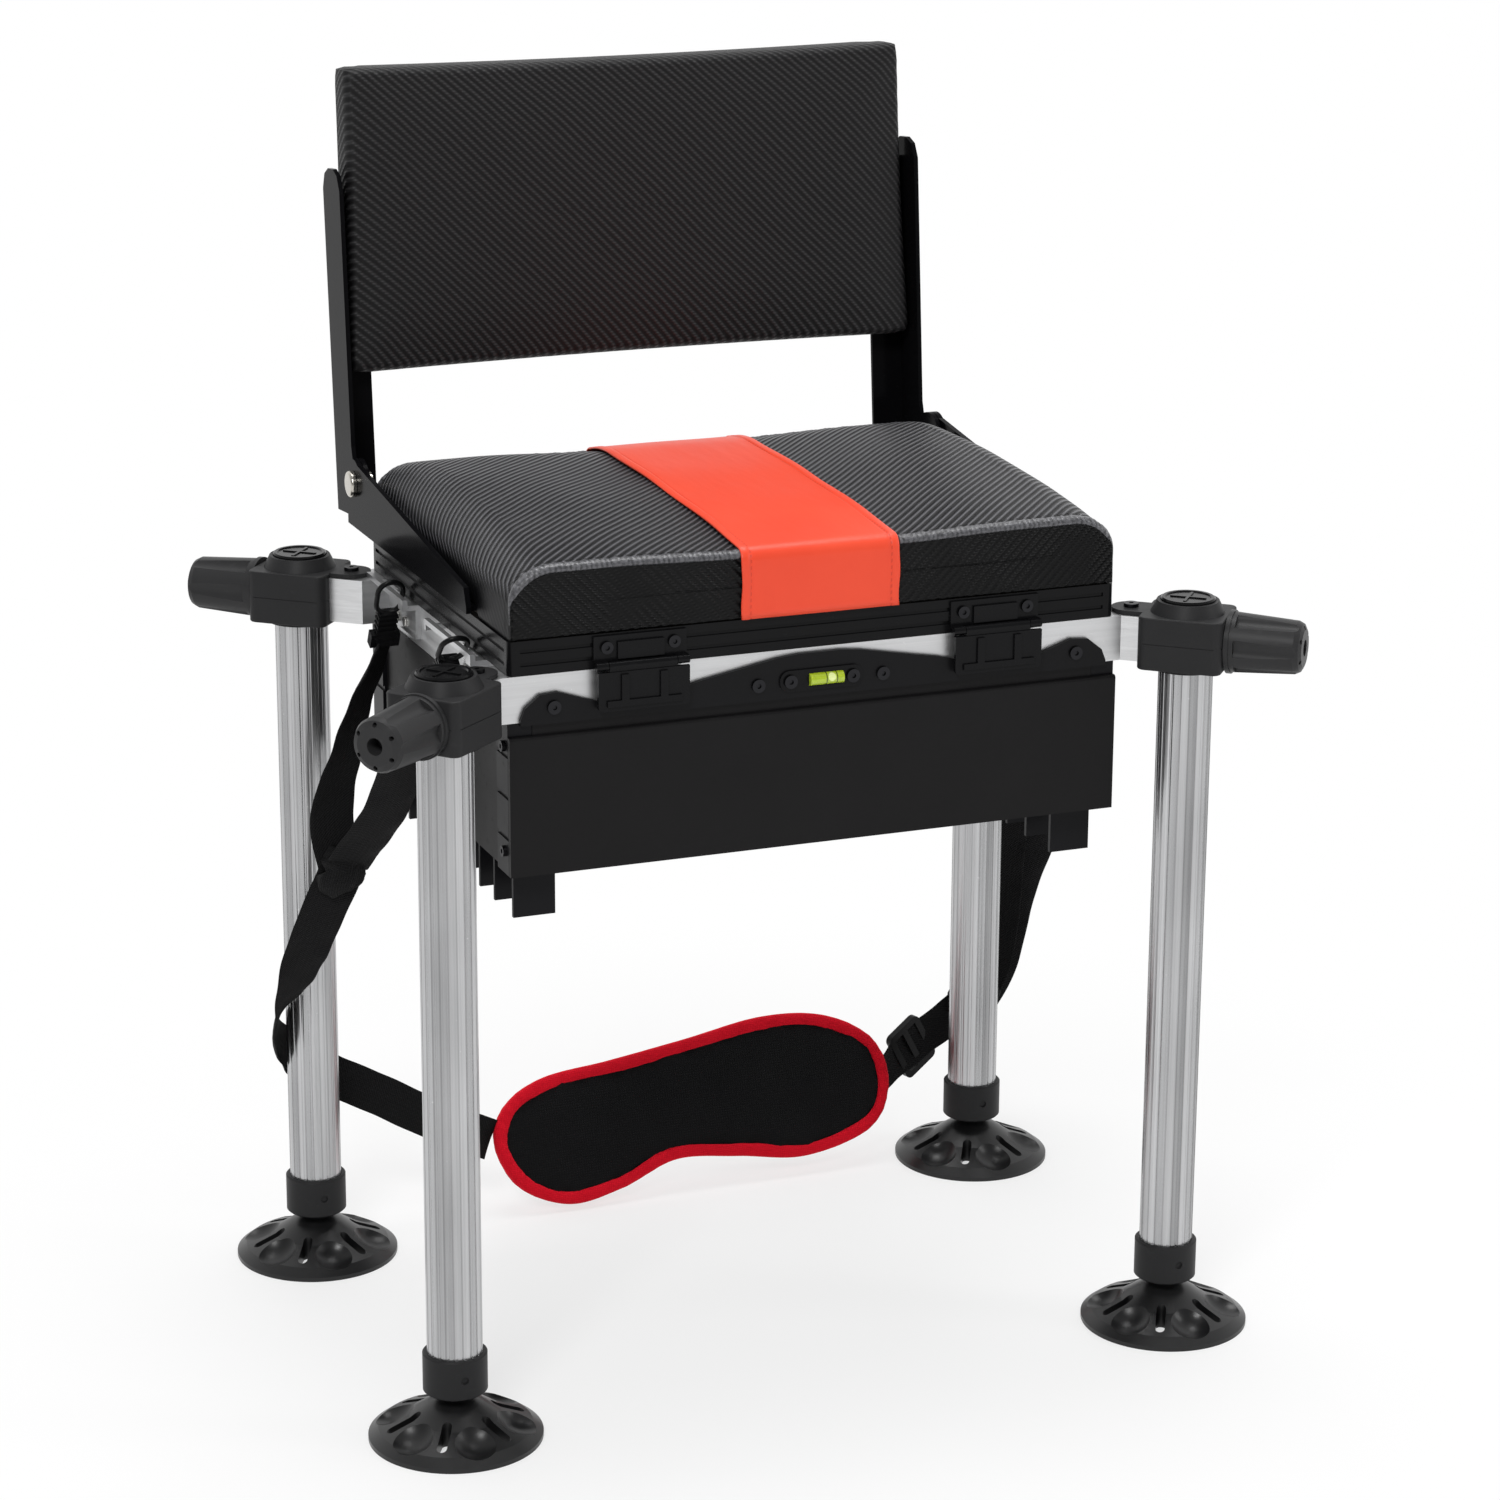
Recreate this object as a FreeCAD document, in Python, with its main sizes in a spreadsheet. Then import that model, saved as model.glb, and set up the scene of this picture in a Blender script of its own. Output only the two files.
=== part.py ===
"""Fishing seat box: a case under a square aluminium frame on four clamped legs, with a
hinged cushioned lid, a folding backrest, two latches and a carrying strap.

X points to the right seen from the front, Y to the back and Z up. Lengths are millimetres.
The pieces are drawn about the middle of the four legs, on the floor, and written out about
the middle of the object's outline, which lies origin_y further back.
"""

import FreeCAD, Part
import math
import os
import re
import Sketcher

Vector = FreeCAD.Vector

# Driving sizes: name, value, meaning
SIZES = [
    ("origin_y", 13, "the object's middle behind the middle of its legs"),
    # frame
    ("rail_side", 30, "side of the square frame tube"),
    ("rail_wall", 2, "wall of the frame tube"),
    ("rail_top", 500, "top of the frame above the floor"),
    ("frame_half_y", 145, "outer face of the front and rear rails from the middle"),
    ("mitre_x", 214, "outer corner of the mitre between rail and arm"),
    ("side_rail_x", 206, "outer face of a side rail"),
    ("arm_angle", 40, "angle of the arms from the front rail, degrees"),
    ("arm_reach", 46.5, "from the middle of the mitre to the leg's axis"),
    ("seat_gap", 0.3, "gap between seated pieces of different bodies"),
    # legs
    ("tube_r", 18, "outer radius of a leg tube"),
    ("tube_wall", 2.5, "wall of a leg tube"),
    ("tube_bottom", 40, "lower end of a leg tube"),
    ("tube_top", 510, "upper end of a leg tube"),
    ("bore_gap", 0.3, "gap round a leg tube in its block"),
    ("rib_count", 20, "ribs round a leg tube"),
    ("rib_cut_r", 1.6, "radius of the hollows between the ribs"),
    ("rib_depth", 0.35, "depth of the hollows between the ribs"),
    ("cap_disc", 3, "thickness of a leg cap's disc"),
    ("cap_plug", 18, "depth of a leg cap's plug"),
    ("cap_mark", 0.8, "height of the raised cross on a cap"),
    # leg blocks
    ("block_long", 56, "leg block along the arm"),
    ("block_wide", 53, "leg block across the arm"),
    ("block_under", 2.5, "block wall below the arm"),
    ("block_over", 3, "block wall above the arm"),
    ("block_round", 6, "radius of a block's upright edges"),
    ("block_soften", 1.2, "radius of a block's other edges"),
    ("pocket_deep", 6, "depth of the pocket that holds the arm"),
    ("ring_low_r", 24.5, "lower radius of the ring round the leg"),
    ("ring_top_r", 20.5, "upper radius of the ring round the leg"),
    ("ring_high", 8, "height of the ring round the leg"),
    ("boss_r", 23, "radius of the boss under a block"),
    ("boss_high", 2, "height of the boss under a block"),
    ("tab_wide", 26, "width of the tab over the arm"),
    ("tab_reach", 10, "from the block's inner face to the tab's screw"),
    ("tab_thick", 2.7, "thickness of the tab"),
    ("screw_r", 2.5, "shank radius of the block and post screws"),
    ("screw_head_r", 5, "head radius of the block screws"),
    ("screw_head", 2.4, "head height of the block and post screws"),
    ("socket_r", 1.6, "radius of a screw's drive socket"),
    ("socket_deep", 1.2, "depth of a screw's drive socket"),
    # clamp knobs
    ("knob_z", 485, "height of a knob's axis"),
    ("knob_long", 50, "length of a knob without its stud"),
    ("knob_base_r", 21, "radius of a knob's flange"),
    ("knob_flange", 3, "thickness of a knob's flange"),
    ("knob_body_r", 20, "radius of a knob behind its flange"),
    ("knob_end_r", 17.6, "radius of a knob near its tip"),
    ("knob_round", 5, "rounding of a knob's tip"),
    ("flute_count", 6, "flutes round a knob"),
    ("flute_r", 9, "radius of a flute"),
    ("flute_deep", 3.4, "depth of a flute at the flange"),
    ("tip_bore_r", 5.5, "radius of the hole in a knob's tip"),
    ("tip_bore_deep", 12, "depth of the hole in a knob's tip"),
    ("tip_hole_r", 1.5, "radius of the small holes in a knob's tip"),
    ("tip_hole_at", 13.5, "radius of the circle of small holes"),
    ("stud_r", 4, "radius of a knob's stud"),
    ("stud_gap", 0.08, "gap round a knob's stud in its block"),
    ("knob_gap", 0.4, "gap between a knob and its block"),
    # foot collars and mud feet
    ("collar_r", 21, "outer radius of a foot collar"),
    ("collar_bottom", 33, "underside of a foot collar"),
    ("collar_top", 60, "top of a foot collar"),
    ("set_screw_r", 2.6, "radius of a collar's set screw hole"),
    ("set_screw_z", 47, "height of a collar's set screw"),
    ("ball_z", 24, "height of a ball stud's centre"),
    ("ball_r", 8, "radius of a ball stud"),
    ("ball_neck_r", 4.5, "radius of a ball stud's neck"),
    ("ball_gap", 0.4, "gap round a ball in its foot"),
    ("foot_r", 56.6, "radius of a mud foot"),
    ("foot_rim", 3, "thickness of a mud foot's rim"),
    ("foot_top", 29, "top of a mud foot's hub"),
    ("foot_hub_r", 11, "radius of a mud foot's hub"),
    ("foot_slots", 6, "slots round a mud foot, and scallops between them"),
    ("slot_wide", 6.5, "width of a slot in a mud foot"),
    ("slot_inner_r", 27, "inner end of a slot in a mud foot"),
    ("slot_outer_r", 43, "outer end of a slot in a mud foot"),
    ("scallop_r", 20, "radius of a scallop in a mud foot"),
    ("scallop_at", 46, "radius of the circle of scallops"),
    ("scallop_z", 25, "height of a scallop's centre"),
    # case
    ("case_half_x", 209.5, "outer side of the case's posts and front panel"),
    ("case_wall_inset", 3, "outer face of the case's side walls inside the posts' outer face"),
    ("case_wall", 3.5, "thickness of the case's side and back walls"),
    ("case_bottom", 370, "underside of the case"),
    ("case_base", 4, "thickness of the case's base"),
    ("front_y", 148.5, "front face of the case's front panel"),
    ("front_thick", 4, "thickness of the case's front panel"),
    ("front_top", 461, "top of the case's front panel"),
    ("front_lip_r", 2, "rounding of the front panel's top edge"),
    ("post_wide", 16, "width of a corner post across"),
    ("post_y", 144.2, "outer end of a corner post"),
    ("post_deep", 22, "width of a corner post front to back"),
    ("post_step", 27, "height of one step of a post's ribs"),
    ("post_cut", 1.2, "depth of the grooves in a post"),
    ("post_screw_high", 454, "height of the upper post screws"),
    ("post_screw_low", 385, "height of the lower post screws"),
    ("post_screw_r", 3.6, "head radius of the post screws"),
    ("foot_high", 33, "height of a channel foot"),
    ("foot_wide", 28, "width of a channel foot"),
    ("foot_deep", 40, "length of a channel foot front to back"),
    ("foot_wall", 3, "wall of a channel foot"),
    ("foot_inset", 7.5, "outer face of a channel foot inside the posts' outer face"),
    ("foot_back", 14.2, "outer end of a channel foot behind the posts' outer end"),
    ("foot_pitch", 67, "distance between two channel feet on one side of the middle"),
    # fascia and level
    ("fascia_thick", 3, "thickness of the fascia plate"),
    ("fascia_bottom", 468.5, "lower edge of the fascia plate"),
    ("fascia_half_x", 202, "half the length of the fascia plate"),
    ("fascia_peak", 497.5, "top of the fascia plate in the middle"),
    ("fascia_dip_deep", 22.5, "drop of the fascia plate's top under the latches"),
    ("fascia_horn", 488.5, "top of the fascia plate near its ends"),
    ("fascia_screw_z", 479, "height of the fascia's screws"),
    ("fascia_outer_screw", 180, "fascia's outer screws from the middle"),
    ("fascia_inner_screw", 43, "fascia's inner screws from the middle"),
    ("fascia_head_r", 4.4, "head radius of a fascia screw"),
    ("level_half", 28.5, "half the length of the level's housing"),
    ("level_high", 14, "height of the level's housing"),
    ("level_thick", 1.6, "thickness of the level's housing"),
    ("level_z", 480, "height of the level's axis"),
    ("vial_r", 4, "radius of the level's vial"),
    ("vial_long", 23, "length of the level's vial"),
    ("vial_x", 3, "middle of the vial from the middle of the fascia"),
    ("vial_gap", 0.2, "gap round the vial in its window"),
    # latches
    ("latch_x", 122, "middle of a latch from the middle of the front"),
    ("latch_wide", 62, "width of a latch"),
    ("latch_plate", 2, "thickness of a latch's plate on the lid"),
    ("latch_plate_z", 504.5, "lower edge of a latch's plate"),
    ("latch_plate_top", 521, "upper edge of a latch's plate"),
    ("latch_axis_y", 150.5, "latch pivot in front of the middle"),
    ("latch_axis_z", 502.6, "height of a latch's pivot"),
    ("latch_knuckle_r", 2.8, "radius of a latch's knuckles"),
    ("latch_pin_r", 1.2, "radius of a latch's pin"),
    ("pin_gap", 0.06, "gap round a hinge or latch pin"),
    ("lever_thick", 2.5, "thickness of a latch lever"),
    ("lever_bottom", 474, "lower edge of a latch lever"),
    ("hook_high", 3.7, "height of a lever's hook"),
    ("keeper_half", 14, "half the width of a keeper"),
    ("keeper_reach", 4.6, "depth of a keeper's lip"),
    ("keeper_lip", 4, "height of a keeper's lip"),
    ("keeper_plate", 1.2, "thickness of a keeper's plate"),
    ("latch_screw_at", 22.5, "latch screws from the latch's middle"),
    ("latch_screw_r", 4, "head radius of a latch screw"),
    # lid
    ("lid_half_x", 208.5, "half the width of the lid frame"),
    ("lid_half_y", 144.5, "half the depth of the lid frame"),
    ("lid_high", 22, "height of the lid frame"),
    ("lid_bar", 24, "width of the lid's profile"),
    ("lid_corner", 8, "side of a lid corner piece"),
    ("groove_high", 2.5, "height of a groove in the lid's profile"),
    ("groove_deep", 1.2, "depth of a groove in the lid's profile"),
    ("groove_low_z", 5.5, "lower groove above the profile's underside"),
    ("groove_high_z", 14, "upper groove above the profile's underside"),
    ("board_half_x", 204, "half the width of the lid board"),
    ("board_half_y", 141, "half the depth of the lid board"),
    ("board_thick", 4.5, "thickness of the lid board"),
    ("hinge_y", 149, "lid hinge axis behind the middle"),
    ("hinge_x", 120, "middle of a hinge from the middle of the rear"),
    ("hinge_wide", 60, "width of a hinge"),
    ("knuckle_r", 3.5, "radius of a hinge's knuckles"),
    ("hinge_pin_r", 1.6, "radius of a hinge's pin"),
    ("leaf_thick", 2, "thickness of a hinge's leaf"),
    ("leaf_high", 18, "height of a hinge's leaf"),
    # cushion
    ("cushion_half_x", 207.4, "half the width of the cushion"),
    ("cushion_half_y", 146, "half the depth of the cushion"),
    ("cushion_edge", 564, "height of the cushion's top edge"),
    ("cushion_crown", 584.5, "height of the cushion's crown"),
    ("cushion_shoulder", 12, "drop of the cushion's side under its top edge"),
    ("cushion_turn", 26, "width of the cushion's rounded shoulder"),
    ("cushion_bulge", 1, "how far the cushion's sides swell"),
    # backrest brackets
    ("bracket_x", 213, "inner face of a backrest bracket"),
    ("bracket_thick", 3.5, "thickness of a backrest bracket"),
    ("bracket_front", 86, "front end of a bracket before the middle"),
    ("bracket_rear", 173, "rear edge of a bracket behind the middle"),
    ("flange_thick", 3, "thickness of a bracket's flange"),
    ("flange_inner_x", 180, "inner edge of a bracket's flange"),
    ("flange_front", 80, "front end of a flange before the middle"),
    ("flange_rear", 140, "rear end of a flange behind the middle"),
    ("pivot_y", 158, "backrest pivot behind the middle"),
    ("pivot_z", 557, "height of the backrest's pivot"),
    ("pivot_round", 17, "radius of the ends round the pivot"),
    ("pivot_r", 4, "radius of a pivot bolt"),
    ("pivot_gap", 0.06, "gap round a pivot bolt"),
    ("bolt_head_r", 9, "radius of a pivot bolt's head"),
    ("bolt_head", 4, "height of a pivot bolt's head"),
    ("nut_r", 7.5, "radius of a pivot bolt's nut"),
    ("nut_high", 5, "height of a pivot bolt's nut"),
    # backrest
    ("lean", 5, "lean of the backrest from upright, degrees"),
    ("upright_x", 209.5, "inner face of an upright"),
    ("upright_thick", 3, "thickness of an upright"),
    ("upright_front", 16, "front edge of an upright behind the pivot"),
    ("upright_deep", 39, "depth of an upright"),
    ("upright_low", 25, "lower end of an upright under the pivot"),
    ("upright_high", 210, "upper end of an upright above the pivot"),
    ("web_wide", 22.5, "width of an upright's rear web"),
    ("web_at", 30, "rear web behind the upright's front edge"),
    ("pad_front", 22.9, "front of the backrest's pad behind the pivot"),
    ("pad_thick", 43, "thickness of the backrest's pad"),
    ("pad_low", 71, "lower edge of the pad above the pivot"),
    ("pad_high", 277, "upper edge of the pad above the pivot"),
    ("pad_half_top", 203, "half the pad's width at its top"),
    ("pad_half_low", 208.4, "half the pad's width at its bottom"),
    ("pad_round", 9, "rounding of the pad's front edges"),
    ("pad_crown", 3, "crown of the pad's front"),
    ("soft_gap", 0.4, "gap between soft and hard pieces"),
    # strap fittings
    ("lug_thick", 3.5, "thickness of a strap lug"),
    ("lug_long", 40, "length of a lug's plate"),
    ("lug_high", 23.5, "height of a lug's plate"),
    ("lug_bar_x", 215, "inner face of a lug's bar"),
    ("lug_rear_y", 48, "front end of the rear lug's plate"),
    ("lug_shift", 143, "front lug in front of the rear lug"),
    ("lug_bar_front", 96, "length of a front lug's bar"),
    ("lug_bar_rear", 81, "length of a rear lug's bar"),
    ("rivet_r", 3.6, "radius of a lug rivet's head"),
    ("rivet_high", 1.8, "height of a lug rivet's head"),
    ("hook_x", 220.5, "middle of a snap hook"),
    ("hook_ring_r", 8.6, "radius of a snap hook's ring"),
    ("hook_wire_r", 1.8, "radius of a snap hook's wire"),
    ("hook_straight", 9, "straight part of a snap hook's ring"),
    ("hook_body", 18, "length of a snap hook's body"),
    ("hook_wide", 12, "width of a snap hook's body"),
    ("hook_thick", 7, "thickness of a snap hook's body"),
    ("eye_wide", 20, "width of a snap hook's strap eye"),
    ("eye_high", 10, "height of a snap hook's strap eye"),
    ("eye_bar", 3, "bar of a snap hook's strap eye"),
    ("rear_hook_y", 66, "rear snap hook behind the middle"),
    ("front_hook_y", 70, "front snap hook before the middle"),
    ("rear_hook_lean", 26, "lean of the rear snap hooks, degrees"),
    ("front_hook_lean", 45, "lean of the front snap hooks, degrees"),
    # strap
    ("web_width", 30, "width of the strap's webbing"),
    ("web_thick", 2.5, "thickness of the strap's webbing"),
    ("knot_long", 19, "half the length of a strap's knot"),
    ("knot_wide", 18, "half the width of a strap's knot"),
    ("knot_thick", 11, "half the thickness of a strap's knot"),
    ("shoulder_thick", 9, "thickness of the shoulder pad"),
    ("shoulder_lean", 21, "lean of the shoulder pad, degrees"),
    ("shoulder_y", 162, "shoulder pad's lower edge behind the middle"),
    ("slider_long", 32, "length of the slider buckle"),
    ("slider_wide", 42, "width of the slider buckle"),
    ("slider_bar", 5, "bars of the slider buckle"),
    ("slider_thick", 5, "thickness of the slider buckle"),
]

# Places that follow from the sizes above
DERIVED = {
    "rail_bottom": "rail_top - rail_side",
    "half_rail": "rail_side / 2",
    "mitre_shift": "half_rail * tan(arm_angle / 2)",
    "leg_x": "mitre_x + mitre_shift + arm_reach * cos(arm_angle)",
    "leg_y": "frame_half_y - half_rail + arm_reach * sin(arm_angle)",
    "block_bottom": "rail_bottom - block_under",
    "block_top": "rail_top + block_over",
    "bore_r": "tube_r + bore_gap",
    "arm_end": "block_long / 2 - pocket_deep",
    "tab_x": "block_long / 2 + tab_reach",
    "tab_bottom": "block_top - tab_thick",
    "collar_bore": "tube_bottom",
    "case_top": "rail_bottom",
    "front_back": "front_y - front_thick",
    "post_in_y": "post_y - post_deep",
    "fascia_y": "frame_half_y + fascia_thick",
    "fascia_dip": "fascia_peak - fascia_dip_deep",
    "foot_x": "case_half_x - foot_inset",
    "case_wall_x": "case_half_x - case_wall_inset",
    "foot_y": "post_y - foot_back",
    "lever_y": "latch_axis_y + 1",
    "lever_out": "lever_y + lever_thick",
    "keeper_y": "frame_half_y + keeper_reach",
    "keeper_low": "lever_bottom + hook_high + seat_gap",
    "lid_bottom": "rail_top + seat_gap",
    "lid_top": "lid_bottom + lid_high",
    "board_top": "lid_top + board_thick",
    "flange_top": "board_top + flange_thick",
    "hinge_z": "rail_top",
    "bolt_inner": "upright_x - nut_high",
    "bracket_out": "bracket_x + bracket_thick",
    "web_front": "upright_front + web_at",
    "lug_z": "rail_top - 0.5 - lug_high",
    "lug_plate_out": "side_rail_x + lug_thick",
}

CORNERS = [("fl", -1, -1), ("fr", 1, -1), ("rl", -1, 1), ("rr", 1, 1)]
SIDES = [("left", -1), ("right", 1)]

doc = FreeCAD.newDocument("SeatBox")
sheet = doc.addObject("Spreadsheet::Sheet", "Sizes")
for row, (alias, value, meaning) in enumerate(SIZES, start=1):
    sheet.set(f"A{row}", meaning)
    sheet.set(f"B{row}", str(value))
    sheet.setAlias(f"B{row}", alias)
doc.recompute()
ALIASES = {alias for alias, value, meaning in SIZES}


def expr(text):
    """Turns words of the lists above into an expression on the sheet."""

    def word(match):
        name = match.group(0)
        if name in DERIVED:
            return "(" + expr(DERIVED[name]) + ")"
        return "Sizes." + name if name in ALIASES else name

    return re.sub(r"[A-Za-z_]\w*", word, str(text))


def num(text):
    """The value of an expression as a plain number."""
    return float(sheet.evalExpression(expr(text)))


def neg(text):
    return f"-({text})"


def signed(sign, text):
    return text if sign > 0 else neg(text)


def span(sign, low, high):
    """A span along X or Y, or its mirror image when sign is -1."""
    return (low, high) if sign > 0 else (neg(high), neg(low))


def bind(item, **texts):
    for prop, text in texts.items():
        item.setExpression(prop, expr(text))
    return item


def place(item, x="0", y="0", z="0", axis=None, angle="0"):
    """Binds an object's position, and its turn about one axis in degrees."""
    for letter, text in zip("xyz", (x, y, z)):
        item.setExpression("Placement.Base." + letter, expr(text))
    if axis:
        item.Placement.Rotation = FreeCAD.Rotation(Vector(*axis), 1)
        item.setExpression("Placement.Rotation.Angle", expr(angle))
    return item


def box(name, xs, ys, zs):
    item = doc.addObject("Part::Box", name)
    bind(item, Length=f"({xs[1]}) - ({xs[0]})", Width=f"({ys[1]}) - ({ys[0]})",
         Height=f"({zs[1]}) - ({zs[0]})")
    return place(item, xs[0], ys[0], zs[0])


TURNS = {"x": Vector(0, 1, 0), "y": Vector(-1, 0, 0)}


def turn_to(item, axis):
    """Points a primitive's own Z axis along X or Y."""
    if axis in TURNS:
        item.Placement.Rotation = FreeCAD.Rotation(TURNS[axis], 90)
    return item


def cylinder(name, r, length, x="0", y="0", z="0", axis="z"):
    item = turn_to(doc.addObject("Part::Cylinder", name), axis)
    bind(item, Radius=r, Height=length)
    return place(item, x, y, z)


def cone(name, r_low, r_high, length, x="0", y="0", z="0"):
    item = doc.addObject("Part::Cone", name)
    bind(item, Radius1=r_low, Radius2=r_high, Height=length)
    return place(item, x, y, z)


def sphere(name, r, x="0", y="0", z="0"):
    item = doc.addObject("Part::Sphere", name)
    bind(item, Radius=r)
    return place(item, x, y, z)


def fuse(name, items):
    item = doc.addObject("Part::MultiFuse", name)
    item.Shapes = items
    return item


def cut(name, base, tools):
    item = doc.addObject("Part::Cut", name)
    item.Base = base
    item.Tool = tools[0] if len(tools) == 1 else group(name + "_tools", tools)
    return item


def group(name, items):
    """Several separate solids in one object."""
    item = doc.addObject("Part::Compound", name)
    item.Links = items
    return item


def mirrored(name, source, normal=(1, 0, 0)):
    item = doc.addObject("Part::Mirroring", name)
    item.Source = source
    item.Normal = Vector(*normal)
    return item


def rounded(name, base, radius, wanted):
    """Rounds the edges of a box or cylinder that the test picks."""
    doc.recompute()
    item = doc.addObject("Part::Fillet", name)
    item.Base = base
    r = num(radius)
    item.Edges = [(n, r, r) for n, edge in enumerate(base.Shape.Edges, start=1) if wanted(edge)]
    return item


def upright_edge(edge):
    return len(edge.Vertexes) == 2 and abs(edge.tangentAt(edge.FirstParameter).z) > 0.99


def new_sketch(body, name, plane):
    """A sketch on one of the body's own origin planes."""
    sketch = body.newObject("Sketcher::SketchObject", name)
    base = [item for item in body.Origin.OriginFeatures if item.Role == plane + "_Plane"][0]
    sketch.AttachmentSupport = [(base, "")]
    sketch.MapMode = "FlatFace"
    return sketch


def outline(sketch, points):
    """A closed outline whose corners are bound to expressions."""
    at = [(num(u), num(v)) for u, v in points]
    count = len(points)
    lines = [Part.LineSegment(Vector(*at[n], 0), Vector(*at[(n + 1) % count], 0)) for n in range(count)]
    sketch.addGeometry(lines)
    for n in range(count):
        sketch.addConstraint(Sketcher.Constraint("Coincident", n, 2, (n + 1) % count, 1))
    for n, corner in enumerate(points):
        for kind, text, value in zip(("DistanceX", "DistanceY"), corner, at[n]):
            added = sketch.addConstraint(Sketcher.Constraint(kind, -1, 1, n, 1, value))
            sketch.setExpression(f"Constraints[{added}]", expr(text))


def padded(name, plane, points, length, flip=False):
    """A body: an outline on an origin plane, padded along the plane's normal."""
    body = doc.addObject("PartDesign::Body", name)
    sketch = new_sketch(body, name + "_outline", plane)
    outline(sketch, points)
    pad = body.newObject("PartDesign::Pad", name + "_pad")
    pad.Profile = sketch
    pad.Reversed = flip
    bind(pad, Length=length)
    return body


def turned(name, points, axis="V_Axis", plane="XZ"):
    """A body of revolution about an axis of its sketch."""
    body = doc.addObject("PartDesign::Body", name)
    sketch = new_sketch(body, name + "_outline", plane)
    outline(sketch, points)
    turn = body.newObject("PartDesign::Revolution", name + "_turn")
    turn.Profile = sketch
    turn.ReferenceAxis = (sketch, [axis])
    turn.Angle = 360
    return body


def plain(name, shape):
    """An object whose shape is made by Part's own functions."""
    item = doc.addObject("Part::Feature", name)
    item.Shape = shape
    return item


NODES = []


def node(name, item):
    """Labels an object as a sub-part; a list becomes a group of separate solids."""
    if isinstance(item, list):
        item = group(name + "_group", item)
    item.Label = name
    NODES.append(item)
    return item


def socket_screw(name, head_r, head, x, y, z, axis, shank_r=None, shank=None, flip=False):
    """A screw head with a drive socket, and a shank behind it if one is wanted.

    The head stands from its seat at (x, y, z) along the axis, or against it when flip.
    """
    at = {"x": x, "y": y, "z": z}
    base = dict(at)
    deep = dict(at)
    if flip:
        base[axis] = f"({at[axis]}) - ({head})"
        deep[axis] = base[axis]
    else:
        deep[axis] = f"({at[axis]}) + ({head}) - socket_deep"
    top = cylinder(name + "_head", head_r, head, axis=axis, **base)
    hollow = cylinder(name + "_socket", "socket_r", "socket_deep", axis=axis, **deep)
    if shank is None:
        return cut(name, top, [hollow])
    if not flip:
        at[axis] = f"({at[axis]}) - ({shank})"
    rod = cylinder(name + "_shank", shank_r, shank, axis=axis, **at)
    return cut(name, fuse(name + "_solid", [top, rod]), [hollow])


def at_corner(item, sx, sy, z="0"):
    """Puts an object, made along +X from the leg's axis, at one corner of the frame."""
    turn = f"{sy} * arm_angle" if sx > 0 else f"180 - {sy} * arm_angle"
    return place(item, signed(sx, "leg_x"), signed(sy, "leg_y"), z, (0, 0, 1), turn)


def make_rails():
    """Front and rear rails with mitred ends, and the side rails between them."""
    for name, sy in (("front", -1), ("rear", 1)):
        outer = signed(sy, "frame_half_y")
        inner = signed(sy, "frame_half_y - rail_side")
        far = "mitre_x + 2 * mitre_shift"
        body = padded(name + "_rail_body", "XY", [
            (neg("mitre_x"), outer), ("mitre_x", outer), (far, inner), (neg(far), inner),
        ], "rail_side")
        place(body, z="rail_bottom")
        long = "mitre_x + rail_side"
        wide = span(sy, "frame_half_y - rail_side + rail_wall", "frame_half_y - rail_wall")
        hollow = box(name + "_rail_hollow", (neg(long), long), wide,
                     ("rail_bottom + rail_wall", "rail_top - rail_wall"))
        node(name + "_rail", cut(name + "_rail_tube", body, [hollow]))
    rails = []
    for side, sx in SIDES:
        long = "frame_half_y - rail_side"
        solid = box(side + "_rail_solid", span(sx, "side_rail_x - rail_side", "side_rail_x"),
                    (neg(long), long), ("rail_bottom", "rail_top"))
        wall = span(sx, "side_rail_x - rail_side + rail_wall", "side_rail_x - rail_wall")
        hollow = box(side + "_rail_hollow", wall, (neg(long), long),
                     ("rail_bottom + rail_wall", "rail_top - rail_wall"))
        rails.append(cut(side + "_rail", solid, [hollow]))
    node("side_rails", rails)


def make_arms():
    """The four short arms from the mitres into the leg blocks."""
    arms = []
    for corner, sx, sy in CORNERS:
        inner = signed(-sx * sy, "half_rail")
        outer = signed(sx * sy, "half_rail")
        body = padded(corner + "_arm_body", "XY", [
            ("-arm_reach - mitre_shift", inner), ("-arm_reach + mitre_shift", outer),
            ("-arm_end", outer), ("-arm_end", inner),
        ], "rail_side")
        wall = "half_rail - rail_wall"
        hollow = box(corner + "_arm_hollow", ("-arm_reach - rail_side", "-arm_end + rail_wall"),
                     (neg(wall), wall), ("rail_wall", "rail_side - rail_wall"))
        arm = cut(corner + "_arm", body, [hollow])
        arms.append(at_corner(arm, sx, sy, "rail_bottom"))
    node("corner_arms", arms)


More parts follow.
